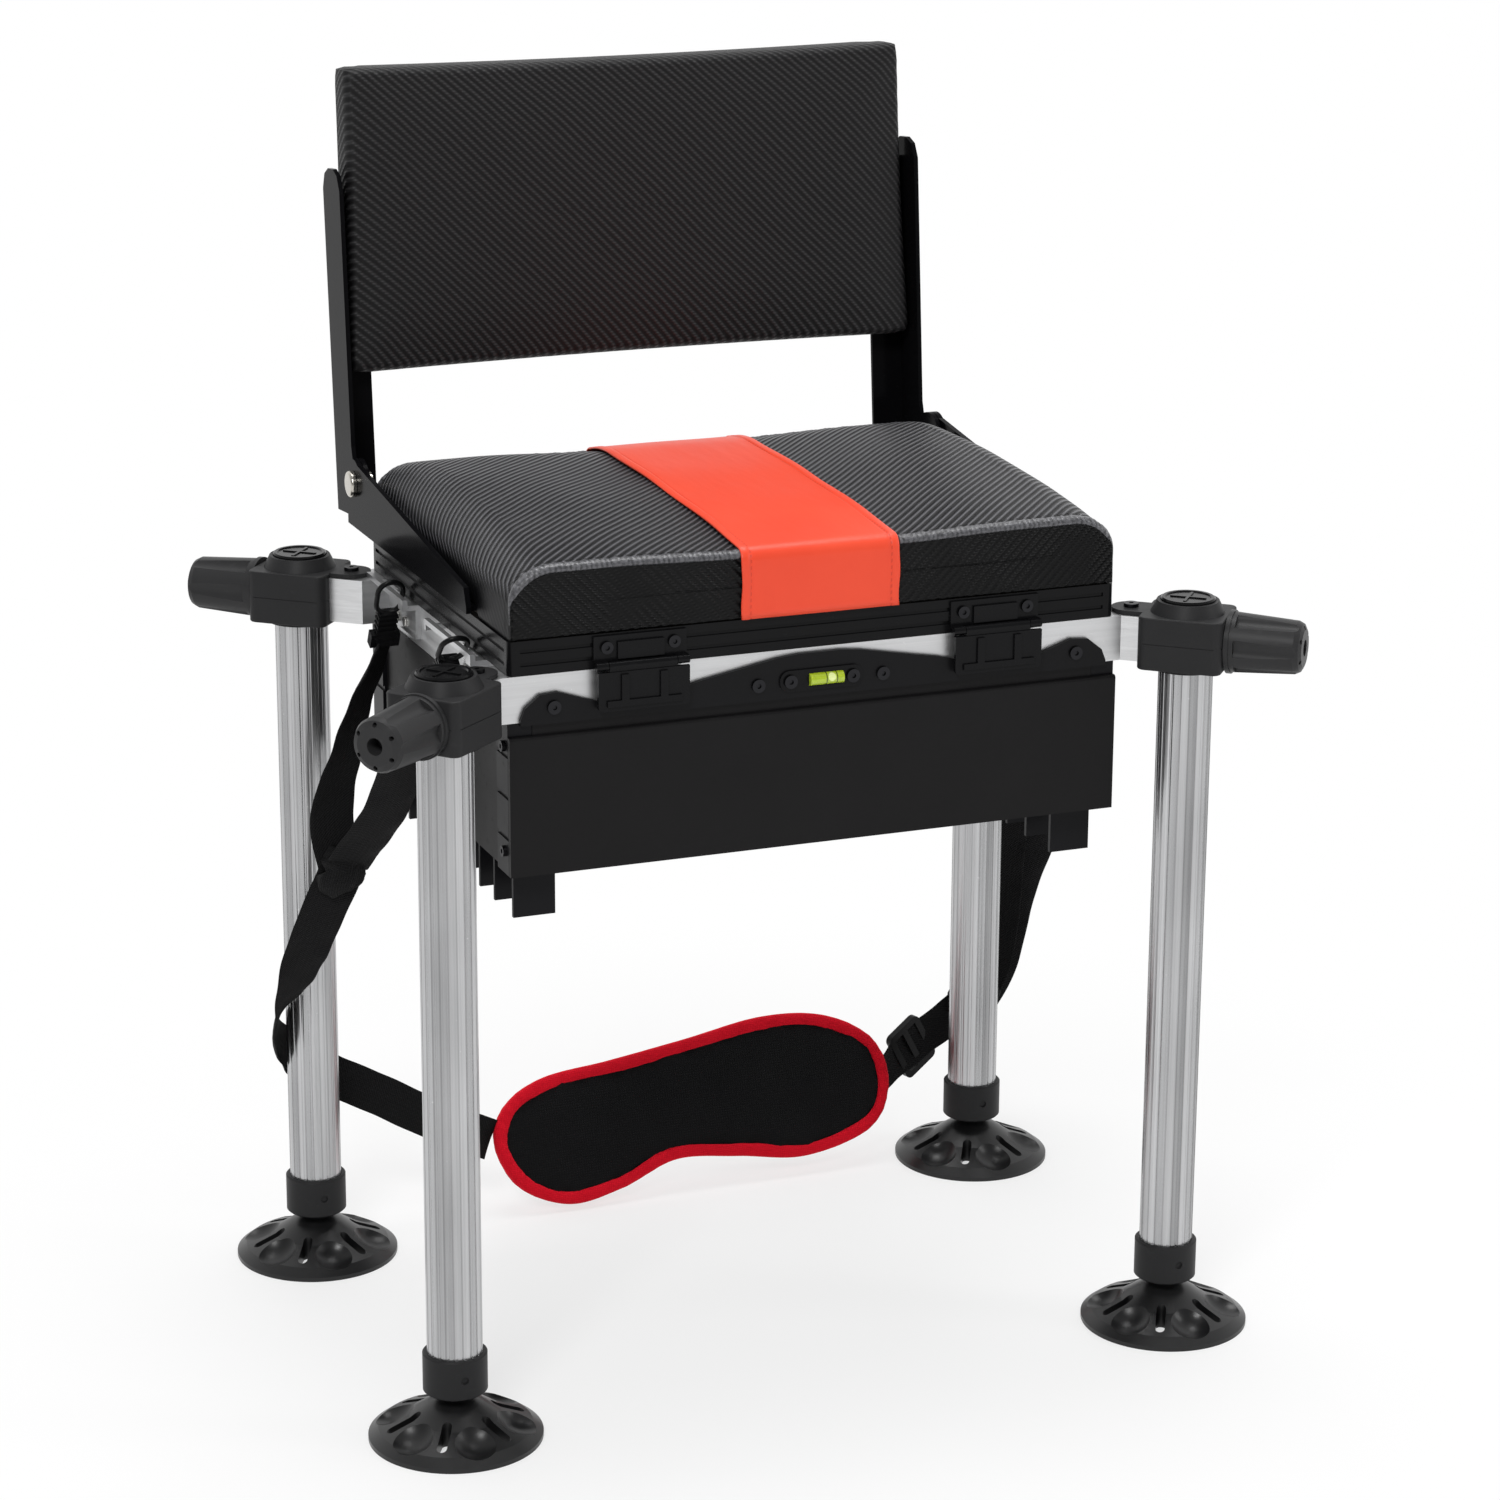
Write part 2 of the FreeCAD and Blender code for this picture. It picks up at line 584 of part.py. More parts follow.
def make_blocks():
    """Leg blocks: bored for the leg, with a pocket for the arm and a tab over it."""
    screws = []
    for corner, sx, sy in CORNERS:
        half = "block_long / 2"
        wide = "block_wide / 2"
        body = box(corner + "_block_body", (neg(half), half), (neg(wide), wide), ("block_bottom", "block_top"))
        body = rounded(corner + "_block_upright", body, "block_round", upright_edge)
        body = rounded(corner + "_block_soft", body, "block_soften", lambda edge: not upright_edge(edge))
        ring = cone(corner + "_block_ring", "ring_low_r", "ring_top_r", "ring_high", z="block_top")
        boss = cylinder(corner + "_block_boss", "boss_r", "boss_high", z="block_bottom - boss_high")
        tab = box(corner + "_block_tab", ("-tab_x", "-half_rail"), ("-tab_wide / 2", "tab_wide / 2"),
                  ("tab_bottom", "block_top"))
        tab_end = cylinder(corner + "_block_tab_end", "tab_wide / 2", "tab_thick", x="-tab_x", z="tab_bottom")
        whole = fuse(corner + "_block_solid", [body, ring, boss, tab, tab_end])
        bore = cylinder(corner + "_block_bore", "bore_r", "block_top - block_bottom + ring_high + 2 * boss_high",
                        z="block_bottom - 2 * boss_high")
        room = "half_rail + seat_gap"
        pocket = box(corner + "_block_pocket", ("-block_long", "-arm_end + seat_gap"), (neg(room), room),
                     ("rail_bottom - seat_gap", "tab_bottom"))
        stud_hole = cylinder(corner + "_block_stud_hole", "stud_r + stud_gap", "block_long",
                             z="knob_z", axis="x")
        screw_hole = cylinder(corner + "_block_screw_hole", "screw_r", "2 * tab_thick",
                              x="-tab_x", z="tab_bottom - tab_thick / 2")
        seam = "(block_bottom + block_top) / 2"
        seam_x, seam_y = "block_long / 2 - 0.4", "block_wide / 2 - 0.4"
        seam_out = box(corner + "_block_seam_out", ("-block_long", "block_long"), ("-block_wide", "block_wide"),
                       (f"{seam} - 0.3", f"{seam} + 0.3"))
        seam_in = box(corner + "_block_seam_in", (neg(seam_x), seam_x), (neg(seam_y), seam_y),
                      (f"{seam} - 1", f"{seam} + 1"))
        groove = cut(corner + "_block_seam", seam_out, [seam_in])
        block = cut(corner + "_block", whole, [bore, pocket, stud_hole, screw_hole, groove])
        node("leg_block_" + corner, at_corner(block, sx, sy))
        screw = socket_screw(corner + "_tab_screw", "screw_head_r", "screw_head", "-tab_x", "0", "block_top",
                             "z", "screw_r", "block_top - rail_top")
        screws.append(at_corner(screw, sx, sy))
    return screws


def make_knobs():
    """Fluted clamp knobs, each with a stud that bears on its leg."""
    start = "block_long / 2 + knob_gap"
    for corner, sx, sy in CORNERS:
        end = f"{start} + knob_long"
        body = turned(corner + "_knob_body", [
            (start, "0"), (start, "knob_base_r"), (f"{start} + knob_flange", "knob_base_r"),
            (f"{start} + knob_flange", "knob_body_r"), (f"{end} - knob_round", "knob_end_r"),
            (f"{end} - knob_round / 3", "knob_end_r - knob_round / 3"), (end, "knob_end_r - knob_round"),
            (end, "0"),
        ], "H_Axis", "XY")
        stud = cylinder(corner + "_knob_stud", "stud_r", f"{start} - tube_r - seat_gap",
                        x="tube_r + seat_gap", axis="x")
        whole = fuse(corner + "_knob_solid", [body, stud])
        tools = [cylinder(corner + "_knob_bore", "tip_bore_r", "tip_bore_deep", x=f"{end} - tip_bore_deep", axis="x")]
        for n in range(int(num("flute_count"))):
            turn = f"(360 * {n} / flute_count)"
            out = "(knob_body_r + flute_r - flute_deep)"
            tools.append(cylinder(f"{corner}_knob_flute_{n}", "flute_r", "knob_long",
                                  f"{start} + knob_flange + 3", f"{out} * cos{turn}", f"{out} * sin{turn}", "x"))
            between = f"(360 * ({n} + 0.5) / flute_count)"
            tools.append(cylinder(f"{corner}_knob_hole_{n}", "tip_hole_r", "2 * knob_round",
                                  f"{end} - knob_round", f"tip_hole_at * cos{between}",
                                  f"tip_hole_at * sin{between}", "x"))
        knob = cut(corner + "_knob", whole, tools)
        node("clamp_knob_" + corner, at_corner(knob, sx, sy, "knob_z"))


def make_legs():
    """Ribbed leg tubes with their caps, collars and ball studs."""
    for corner, sx, sy in CORNERS:
        tube = cylinder(corner + "_tube_out", "tube_r", "tube_top - tube_bottom", z="tube_bottom")
        tools = [cylinder(corner + "_tube_in", "tube_r - tube_wall", "tube_top", z="0")]
        for n in range(int(num("rib_count"))):
            turn = f"(360 * {n} / rib_count)"
            out = "(tube_r + rib_cut_r - rib_depth)"
            tools.append(cylinder(f"{corner}_tube_rib_{n}", "rib_cut_r", "tube_top - collar_top",
                                  f"{out} * cos{turn}", f"{out} * sin{turn}", "collar_top"))
        node("leg_tube_" + corner, at_corner(cut(corner + "_tube", tube, tools), sx, sy))

        plug_r = "tube_r - tube_wall - seat_gap"
        top = "tube_top + cap_disc"
        cap = turned(corner + "_cap_body", [
            ("0", "tube_top - cap_plug"), (plug_r, "tube_top - cap_plug"), (plug_r, "tube_top"),
            ("tube_r", "tube_top"), ("tube_r", f"{top} - 1"), ("tube_r - 1", top),
            ("tube_r - 3", top), ("tube_r - 3.6", f"{top} - 0.8"), ("0", f"{top} - 0.8"),
        ])
        arm = "tube_r - 6"
        bars = [
            box(corner + "_cap_bar_x", (neg(arm), arm), ("-0.9", "0.9"), (f"{top} - 1.6", f"{top} - 0.8 + cap_mark")),
            box(corner + "_cap_bar_y", ("-0.9", "0.9"), (neg(arm), arm), (f"{top} - 1.6", f"{top} - 0.8 + cap_mark")),
        ]
        node("leg_cap_" + corner, at_corner(fuse(corner + "_cap", [cap] + bars), sx, sy))

        collar = turned(corner + "_collar_body", [
            ("0", "collar_bottom"), ("collar_r - 1", "collar_bottom"), ("collar_r", "collar_bottom + 1"),
            ("collar_r", "collar_top - 1"), ("collar_r - 1", "collar_top"), ("tube_r", "collar_top"),
            ("tube_r", "tube_bottom"), ("0", "tube_bottom"),
        ])
        neck = cylinder(corner + "_ball_neck", "ball_neck_r", "collar_bottom - ball_z + 1", z="ball_z")
        ball = sphere(corner + "_ball", "ball_r", z="ball_z")
        socket = cylinder(corner + "_set_screw", "set_screw_r", "(collar_r - tube_r) / 2 + 1",
                          y="-collar_r - 1", z="set_screw_z", axis="y")
        whole = fuse(corner + "_collar_solid", [collar, neck, ball])
        collar = cut(corner + "_collar", whole, [socket])
        node("foot_collar_" + corner, place(collar, signed(sx, "leg_x"), signed(sy, "leg_y")))


def make_mud_feet():
    """Round feet that tilt on the ball studs, with slots and scallops."""
    for corner, sx, sy in CORNERS:
        body = turned(corner + "_foot_body", [
            ("0", "foot_rim"), ("foot_r - 7", "foot_rim"), ("foot_r - 5", "0"), ("foot_r", "0"),
            ("foot_r", "foot_rim"), ("foot_r - 6.6", "foot_rim + 5"), ("30", "16"), ("18", "24"),
            ("foot_hub_r", "foot_top - 1"), ("foot_hub_r - 1", "foot_top"), ("0", "foot_top"),
        ])
        tools = [sphere(corner + "_foot_seat", "ball_r + ball_gap", z="ball_z")]
        count = int(num("foot_slots"))
        for n in range(count):
            turn = f"(360 * {n} / foot_slots)"
            slot = fuse(f"{corner}_foot_slot_{n}", [
                box(f"{corner}_slot_box_{n}", ("slot_inner_r", "slot_outer_r"),
                    ("-slot_wide / 2", "slot_wide / 2"), ("-1", "foot_top")),
                cylinder(f"{corner}_slot_in_{n}", "slot_wide / 2", "foot_top + 1", "slot_inner_r", "0", "-1"),
                cylinder(f"{corner}_slot_out_{n}", "slot_wide / 2", "foot_top + 1", "slot_outer_r", "0", "-1"),
            ])
            tools.append(place(slot, axis=(0, 0, 1), angle=turn + "+ 0.001"))
            between = f"(360 * ({n} + 0.5) / foot_slots)"
            tools.append(sphere(f"{corner}_foot_scallop_{n}", "scallop_r", f"scallop_at * cos{between}",
                                f"scallop_at * sin{between}", "scallop_z"))
        foot = cut(corner + "_foot", body, tools)
        node("mud_foot_" + corner, place(foot, signed(sx, "leg_x"), signed(sy, "leg_y")))


def make_case():
    """The fixed case under the frame, its posts and its channel feet."""
    wide = ("-case_half_x", "case_half_x")
    panel = box("case_panel", wide, ("-front_y", "-front_back"), ("case_bottom", "front_top"))
    panel = rounded("case_panel_round", panel, "front_lip_r", lambda edge: edge.CenterOfMass.z > num("front_top") - 1
                    and edge.CenterOfMass.y < num("0.1 - front_y"))
    inside = "case_half_x - post_wide - seat_gap"
    lip = box("case_lip", (neg(inside), inside), ("-front_back", "-front_back + 3"),
              ("front_top - 6", "case_top"))
    node("case_front", fuse("case_front_solid", [panel, lip]))

    walls = []
    for side, sx in SIDES:
        walls.append(box(side + "_wall", span(sx, "case_wall_x - case_wall", "case_wall_x"),
                         ("-post_in_y", "post_in_y"), ("case_bottom", "case_top")))
    back = "case_half_x - post_wide"
    walls.append(box("back_wall", (neg(back), back), ("post_y - case_wall", "post_y"), ("case_bottom", "case_top")))
    node("case_walls", walls)

    floor = ("case_bottom", "case_bottom + case_base")
    across = "case_wall_x - case_wall"
    middle = box("base_middle", (neg(across), across), ("-post_in_y", "post_in_y"), floor)
    ends = box("base_ends", (neg(back), back), ("-front_back", "post_y - case_wall"), floor)
    node("case_base", fuse("case_base_solid", [middle, ends]))

    posts = []
    screws = []
    feet = []
    for corner, sx, sy in CORNERS:
        ys = span(sy, "post_in_y", "post_y")
        post = box(corner + "_post", span(sx, "case_half_x - post_wide", "case_half_x"), ys,
                   ("case_bottom", "case_top"))
        steps = []
        for n in range(1, 4):
            z = f"case_bottom + {n} * post_step - 4"
            steps.append(box(f"{corner}_post_step_{n}", span(sx, "case_half_x - post_cut", "case_half_x + 1"),
                             ys, (z, f"{z} + 3")))
        posts.append(cut(corner + "_post_stepped", post, steps))
        for level, height in (("high", "post_screw_high"), ("low", "post_screw_low")):
            screws.append(socket_screw(f"{corner}_post_screw_{level}", "post_screw_r", "screw_head",
                                       signed(sx, "case_half_x"), signed(sy, "(post_y + post_in_y) / 2 + 4"),
                                       height, "x", flip=sx < 0))
        foot_xs = span(sx, "foot_x - foot_wide", "foot_x")
        for place_name, end in (("outer", "foot_y"), ("inner", "foot_y - foot_pitch")):
            label = f"{corner}_{place_name}_channel"
            solid = box(label + "_solid", foot_xs, span(sy, f"{end} - foot_deep", end),
                        ("case_bottom - foot_high", "case_bottom"))
            hollow = box(label + "_hollow", span(sx, "foot_x - foot_wide - 1", "foot_x + 1"),
                         span(sy, f"{end} - foot_deep + foot_wall", f"{end} - foot_wall"),
                         ("case_bottom - foot_high - 1", "case_bottom - foot_wall"))
            feet.append(cut(label, solid, [hollow]))
    node("case_posts", posts)
    node("case_feet", feet)
    return screws


def make_fascia():
    """The shaped plate on the front rail, with its screws and its level."""
    half = [
        ("fascia_half_x", "fascia_bottom"), ("fascia_half_x", "fascia_bottom + 3.5"),
        ("fascia_half_x - 3", "fascia_horn - 9"), ("fascia_half_x - 13", "fascia_horn - 1"),
        ("fascia_half_x - 25", "fascia_horn"), ("fascia_half_x - 34", "fascia_horn - 3"),
        ("latch_x + latch_wide / 2 - 4", "fascia_dip + 4"), ("latch_x + latch_wide / 2 - 11", "fascia_dip"),
        ("latch_x - latch_wide / 2 + 23", "fascia_dip"), ("latch_x - latch_wide / 2 + 6", "fascia_dip + 7"),
        ("latch_x - latch_wide / 2 - 8", "fascia_dip + 11"), ("level_half + 26", "fascia_peak - 6.5"),
        ("level_half", "fascia_peak - 1.6"), ("level_half / 2", "fascia_peak - 0.3"),
    ]
    points = half + [(neg(x), z) for x, z in reversed(half)]
    body = padded("fascia_body", "XZ", points, "fascia_thick")
    place(body, y="-frame_half_y")
    window = box("fascia_window", ("vial_x - vial_long / 2 - vial_gap", "vial_x + vial_long / 2 + vial_gap"),
                 ("-fascia_y - level_thick - 1", "-frame_half_y + 1"),
                 ("level_z - vial_r - vial_gap", "level_z + vial_r + vial_gap"))
    node("front_fascia", cut("fascia_plate", body, [window]))

    plate = box("level_plate", ("-level_half", "level_half"), ("-fascia_y - level_thick", "-fascia_y"),
                ("level_z - level_high / 2", "level_z + level_high / 2"))
    plate = rounded("level_round", plate, "level_high / 2 - 0.6", lambda edge: len(edge.Vertexes) == 2
                    and abs(edge.tangentAt(edge.FirstParameter).y) > 0.99)
    node("level_housing", cut("level_frame", plate, [window]))
    vial = cylinder("vial", "vial_r", "vial_long", "vial_x - vial_long / 2",
                    "-frame_half_y - vial_r - vial_gap", "level_z", "x")
    node("level_vial", vial)

    screws = []
    for sx in (-1, 1):
        for place_name, x, seat in (
            ("outer", "fascia_outer_screw", "-fascia_y"), ("inner", "fascia_inner_screw", "-fascia_y"),
            ("level", "level_half - 7", "-fascia_y - level_thick"),
        ):
            name = f"fascia_screw_{place_name}_{'right' if sx > 0 else 'left'}"
            screws.append(socket_screw(name, "fascia_head_r", "1.8", signed(sx, x), seat,
                                       "level_z" if place_name == "level" else "fascia_screw_z", "y", flip=True))
    node("fascia_screws", screws)


def make_latches():
    """Two latches: keeper on the rail, plate and screws on the lid, lever between."""
    keepers = []
    plates = []
    screws = []
    face = "-lid_half_y"
    for side, sx in SIDES:
        mid = signed(sx, "latch_x")
        half = "latch_wide / 2"

        def across(reach):
            return (f"{mid} - ({reach})", f"{mid} + ({reach})")

        lip = box(side + "_keeper_lip", across("keeper_half"), ("-keeper_y", "-frame_half_y"),
                  ("keeper_low", "keeper_low + keeper_lip"))
        back = box(side + "_keeper_back", across("keeper_half"),
                   ("-frame_half_y - keeper_plate", "-frame_half_y"), ("keeper_low", "rail_top - 4"))
        keepers.append(fuse(side + "_keeper", [lip, back]))

        plate = box(side + "_plate_flat", across(half), (f"{face} - latch_plate", face),
                    ("latch_plate_z", "latch_plate_top"))
        hump = box(side + "_plate_hump", across("latch_wide / 4"), (f"{face} - 2 * latch_plate", face),
                   ("latch_plate_z + 1.5", "latch_plate_top - 4"))
        parts = [plate, hump]
        for end, low in (("a", f"{mid} - {half}"), ("b", f"{mid} + {half} - 8")):
            parts.append(cylinder(f"{side}_plate_knuckle_{end}", "latch_knuckle_r", "8", low,
                                  "-latch_axis_y", "latch_axis_z", "x"))
            parts.append(box(f"{side}_plate_web_{end}", (low, f"{low} + 8"), ("-latch_axis_y", f"{face} - 0.4"),
                             ("latch_plate_z - 1.2", "latch_axis_z + latch_knuckle_r")))
        parts.append(cylinder(side + "_latch_pin", "latch_pin_r", "latch_wide - 2", f"{mid} - {half} + 1",
                              "-latch_axis_y", "latch_axis_z", "x"))
        plates.append(fuse(side + "_latch_plate", parts))
        for way in (-1, 1):
            screws.append(socket_screw(f"{side}_latch_screw_{'b' if way > 0 else 'a'}", "latch_screw_r", "2",
                                       f"{mid} + {way} * latch_screw_at", f"{face} - latch_plate",
                                       "(latch_plate_z + latch_plate_top) / 2 + 1", "y", flip=True))

        inner = "latch_wide / 2 - 8.4"
        flat = box(side + "_lever_flat", across(f"{half} - 0.5"), ("-lever_out", "-lever_y"),
                   ("lever_bottom", "latch_axis_z - latch_knuckle_r - 0.6"))
        flat = rounded(side + "_lever_round", flat, "3", lambda edge: edge.CenterOfMass.z < num("lever_bottom") + 0.1
                       and abs(edge.tangentAt(edge.FirstParameter).y) > 0.99)
        web = box(side + "_lever_web", across(inner), ("-lever_y - 1.6", "-lever_y + 0.4"),
                  ("latch_axis_z - latch_knuckle_r - 1.6", "latch_axis_z"))
        knuckle = cylinder(side + "_lever_knuckle", "latch_knuckle_r", f"2 * ({inner})", f"{mid} - ({inner})",
                           "-latch_axis_y", "latch_axis_z", "x")
        hook = box(side + "_lever_hook", across("keeper_half + 2"), ("-lever_out", "-fascia_y - seat_gap"),
                   ("lever_bottom", "lever_bottom + hook_high"))
        rib = box(side + "_lever_rib", across(f"{half} - 6"), ("-lever_out - 1.6", "-lever_out"),
                  ("lever_bottom + 3", "lever_bottom + 7"))
        posts = [box(f"{side}_lever_post_{way}", (f"{mid} + {way} * 13 - 2.5", f"{mid} + {way} * 13 + 2.5"),
                     ("-lever_out - 1.6", "-lever_out"), ("lever_bottom + 7", "latch_axis_z - 5"))
                 for way in (-1, 1)]
        solid = fuse(side + "_lever_solid", [flat, web, knuckle, hook, rib] + posts)
        bore = cylinder(side + "_lever_bore", "latch_pin_r + pin_gap", "latch_wide", f"{mid} - {half}",
                        "-latch_axis_y", "latch_axis_z", "x")
        node("latch_lever_" + side, cut(side + "_lever", solid, [bore]))
    node("latch_keepers", keepers)
    node("latch_plates", plates)
    node("latch_screws", screws)


def make_hinges():
    """The two lid hinges: lower leaves with pins, and upper leaves for the lid."""
    lower = []
    upper = []
    third = "hinge_wide / 3"
    for side, sx in SIDES:
        mid = signed(sx, "hinge_x")
        start = f"{mid} - hinge_wide / 2"
        stop = f"{mid} + hinge_wide / 2"
        clear = "knuckle_r + seat_gap"
        parts = [box(side + "_low_leaf", (start, stop), ("frame_half_y", "frame_half_y + leaf_thick"),
                     (f"hinge_z - {clear} - leaf_high", f"hinge_z - {clear}"))]
        for end, low in (("a", start), ("b", f"{stop} - {third}")):
            parts.append(cylinder(f"{side}_low_knuckle_{end}", "knuckle_r", third, low, "hinge_y", "hinge_z", "x"))
            parts.append(box(f"{side}_low_web_{end}", (low, f"{low} + {third}"),
                             ("frame_half_y + seat_gap", "frame_half_y + leaf_thick"),
                             (f"hinge_z - {clear} - 1", "hinge_z - 0.6")))
        parts.append(cylinder(side + "_hinge_pin", "hinge_pin_r", "hinge_wide - 2", f"{start} + 1",
                              "hinge_y", "hinge_z", "x"))
        lower.append(fuse(side + "_lower_leaf", parts))

        leaf = box(side + "_up_leaf", (start, stop), ("lid_half_y - 1", "lid_half_y + leaf_thick"),
                   (f"hinge_z + {clear}", f"hinge_z + {clear} + leaf_high - 5"))
        mid_span = (f"{start} + {third} + seat_gap", f"{stop} - {third} - seat_gap")
        web = box(side + "_up_web", mid_span, ("lid_half_y", "lid_half_y + leaf_thick"),
                  ("hinge_z + 0.6", f"hinge_z + {clear} + 1"))
        knuckle = cylinder(side + "_up_knuckle", "knuckle_r", f"{third} - 2 * seat_gap", mid_span[0],
                           "hinge_y", "hinge_z", "x")
        solid = fuse(side + "_up_solid", [leaf, web, knuckle])
        bore = cylinder(side + "_up_bore", "hinge_pin_r + pin_gap", "hinge_wide", start, "hinge_y", "hinge_z", "x")
        upper.append(cut(side + "_upper_leaf", solid, [bore]))
    node("hinge_leaves", lower)
    return upper


def ring(name, reach, inset, low, high):
    """A rectangular ring round the lid, from reach outside its faces to inset within."""
    outer = box(name + "_outer", (f"-lid_half_x - ({reach})", f"lid_half_x + ({reach})"),
                (f"-lid_half_y - ({reach})", f"lid_half_y + ({reach})"), (low, high))
    inner = box(name + "_inner", (f"-lid_half_x + ({inset})", f"lid_half_x - ({inset})"),
                (f"-lid_half_y + ({inset})", f"lid_half_y - ({inset})"), (f"({low}) - 1", f"({high}) + 1"))
    return cut(name, outer, [inner])


def make_lid(upper_leaves):
    """The lid's profile frame with corner pieces, its board and its hinge leaves."""
    frame = ring("lid_ring", "0", "lid_bar", "lid_bottom", "lid_top")
    tools = []
    for n, z in enumerate(("groove_low_z", "groove_high_z")):
        tools.append(ring(f"lid_groove_{n}", "1", "groove_deep", f"lid_bottom + {z}",
                          f"lid_bottom + {z} + groove_high"))
    corners = []
    for corner, sx, sy in CORNERS:
        xs = span(sx, "lid_half_x - lid_corner", "lid_half_x")
        ys = span(sy, "lid_half_y - lid_corner", "lid_half_y")
        tools.append(box(corner + "_lid_notch", span(sx, "lid_half_x - lid_corner", "lid_half_x + 2"),
                         span(sy, "lid_half_y - lid_corner", "lid_half_y + 2"), ("lid_bottom - 1", "lid_top + 1")))
        piece = box(corner + "_lid_corner", xs, ys, ("lid_bottom", "lid_top"))

        def outer_edge(edge, sx=sx, sy=sy):
            at = edge.CenterOfMass
            return upright_edge(edge) and at.x * sx > num("lid_half_x") - 1 and at.y * sy > num("lid_half_y") - 1

        corners.append(rounded(corner + "_lid_corner_round", piece, "lid_corner / 2", outer_edge))
    grooved = cut("lid_grooved", frame, tools)
    node("lid_frame", fuse("lid_frame_solid", [grooved] + upper_leaves))
    node("lid_corners", corners)
    board = box("board", ("-board_half_x", "board_half_x"), ("-board_half_y", "board_half_y"), ("lid_top", "board_top"))
    node("lid_board", board)


def crowned_section(y, half, bottom, edge, crown):
    """One upright section of the cushion: flat below, bowed sides, crowned top."""
    shoulder = num("cushion_shoulder")
    turn = num("cushion_turn")
    bulge = num("cushion_bulge")

    def point(x, z):
        return Vector(x, y, z)

    side_mid = (bottom + edge - shoulder) / 2
    left = [point(-half, bottom), point(-half - bulge, side_mid), point(-half, edge - shoulder)]
    left_turn = [point(-half, edge - shoulder), point(-half + turn * 0.3, edge - shoulder * 0.28),
                 point(-half + turn, edge)]
    top = [point(-half + turn, edge), point(0, crown), point(half - turn, edge)]
    right_turn = [Vector(-p.x, p.y, p.z) for p in reversed(left_turn)]
    right = [Vector(-p.x, p.y, p.z) for p in reversed(left)]
    arcs = [Part.Arc(*three).toShape() for three in (left, left_turn, top, right_turn, right)]
    return Part.Wire(arcs + [Part.makeLine(point(half, bottom), point(-half, bottom))])


def make_cushion():
    """The seat cushion: crowned, with slightly swollen sides, over the lid board."""
    gap = num("soft_gap")
    bottom = num("lid_top") + gap
    half_x, half_y = num("cushion_half_x"), num("cushion_half_y")
    edge, crown = num("cushion_edge"), num("cushion_crown")
    rise = crown - edge
    sections = []
    for share, inset, lift in ((-1, 2.5, 0.03), (-0.965, 0.4, 0.22), (-0.75, 0, 0.68), (-0.4, 0, 0.94), (0, 0, 1),
                               (0.4, 0, 0.94), (0.75, 0, 0.68), (0.965, 0.4, 0.22), (1, 2.5, 0.03)):
        top_edge = edge - inset
        sections.append(crowned_section(share * half_y, half_x - inset, bottom, top_edge, top_edge + rise * lift))
    whole = plain("cushion_whole", Part.makeLoft(sections, True, False))
    recess = box("cushion_recess", ("-board_half_x - soft_gap", "board_half_x + soft_gap"),
                 ("-board_half_y - soft_gap", "board_half_y + soft_gap"), ("lid_top - 1", "board_top + soft_gap"))
    notches = [box(side + "_cushion_notch", span(sx, "flange_inner_x - soft_gap", "bracket_out"),
                   ("-flange_front - soft_gap", "flange_rear + soft_gap"),
                   ("lid_top - 1", "flange_top + soft_gap")) for side, sx in SIDES]
    node("seat_cushion", cut("cushion", whole, [recess] + notches))


def make_brackets():
    """The glossy brackets that carry the backrest beside the cushion."""
    plate = padded("bracket_plate", "YZ", [
        ("-bracket_front", "board_top"), ("bracket_rear", "board_top"), ("bracket_rear", "pivot_z + 2"),
        ("pivot_y", "pivot_z + pivot_round - 1"), ("pivot_y - 8", "pivot_z + pivot_round - 2.5"),
        ("-bracket_front + 5", "board_top + 16"), ("-bracket_front", "board_top + 4"),
    ], "bracket_thick")
    place(plate, x="bracket_x")
    eye = cylinder("bracket_eye", "pivot_round", "bracket_thick", "bracket_x", "pivot_y", "pivot_z", "x")
    flange = box("bracket_flange", ("flange_inner_x", "bracket_x + 1"), ("-flange_front", "flange_rear"),
                 ("board_top", "flange_top"))
    solid = fuse("bracket_solid", [plate, eye, flange])
    hole = cylinder("bracket_hole", "pivot_r + pivot_gap", "3 * bracket_thick", "bracket_x - bracket_thick",
                    "pivot_y", "pivot_z", "x")
    right = cut("bracket_right", solid, [hole])
    node("backrest_brackets", [mirrored("bracket_left", right), right])


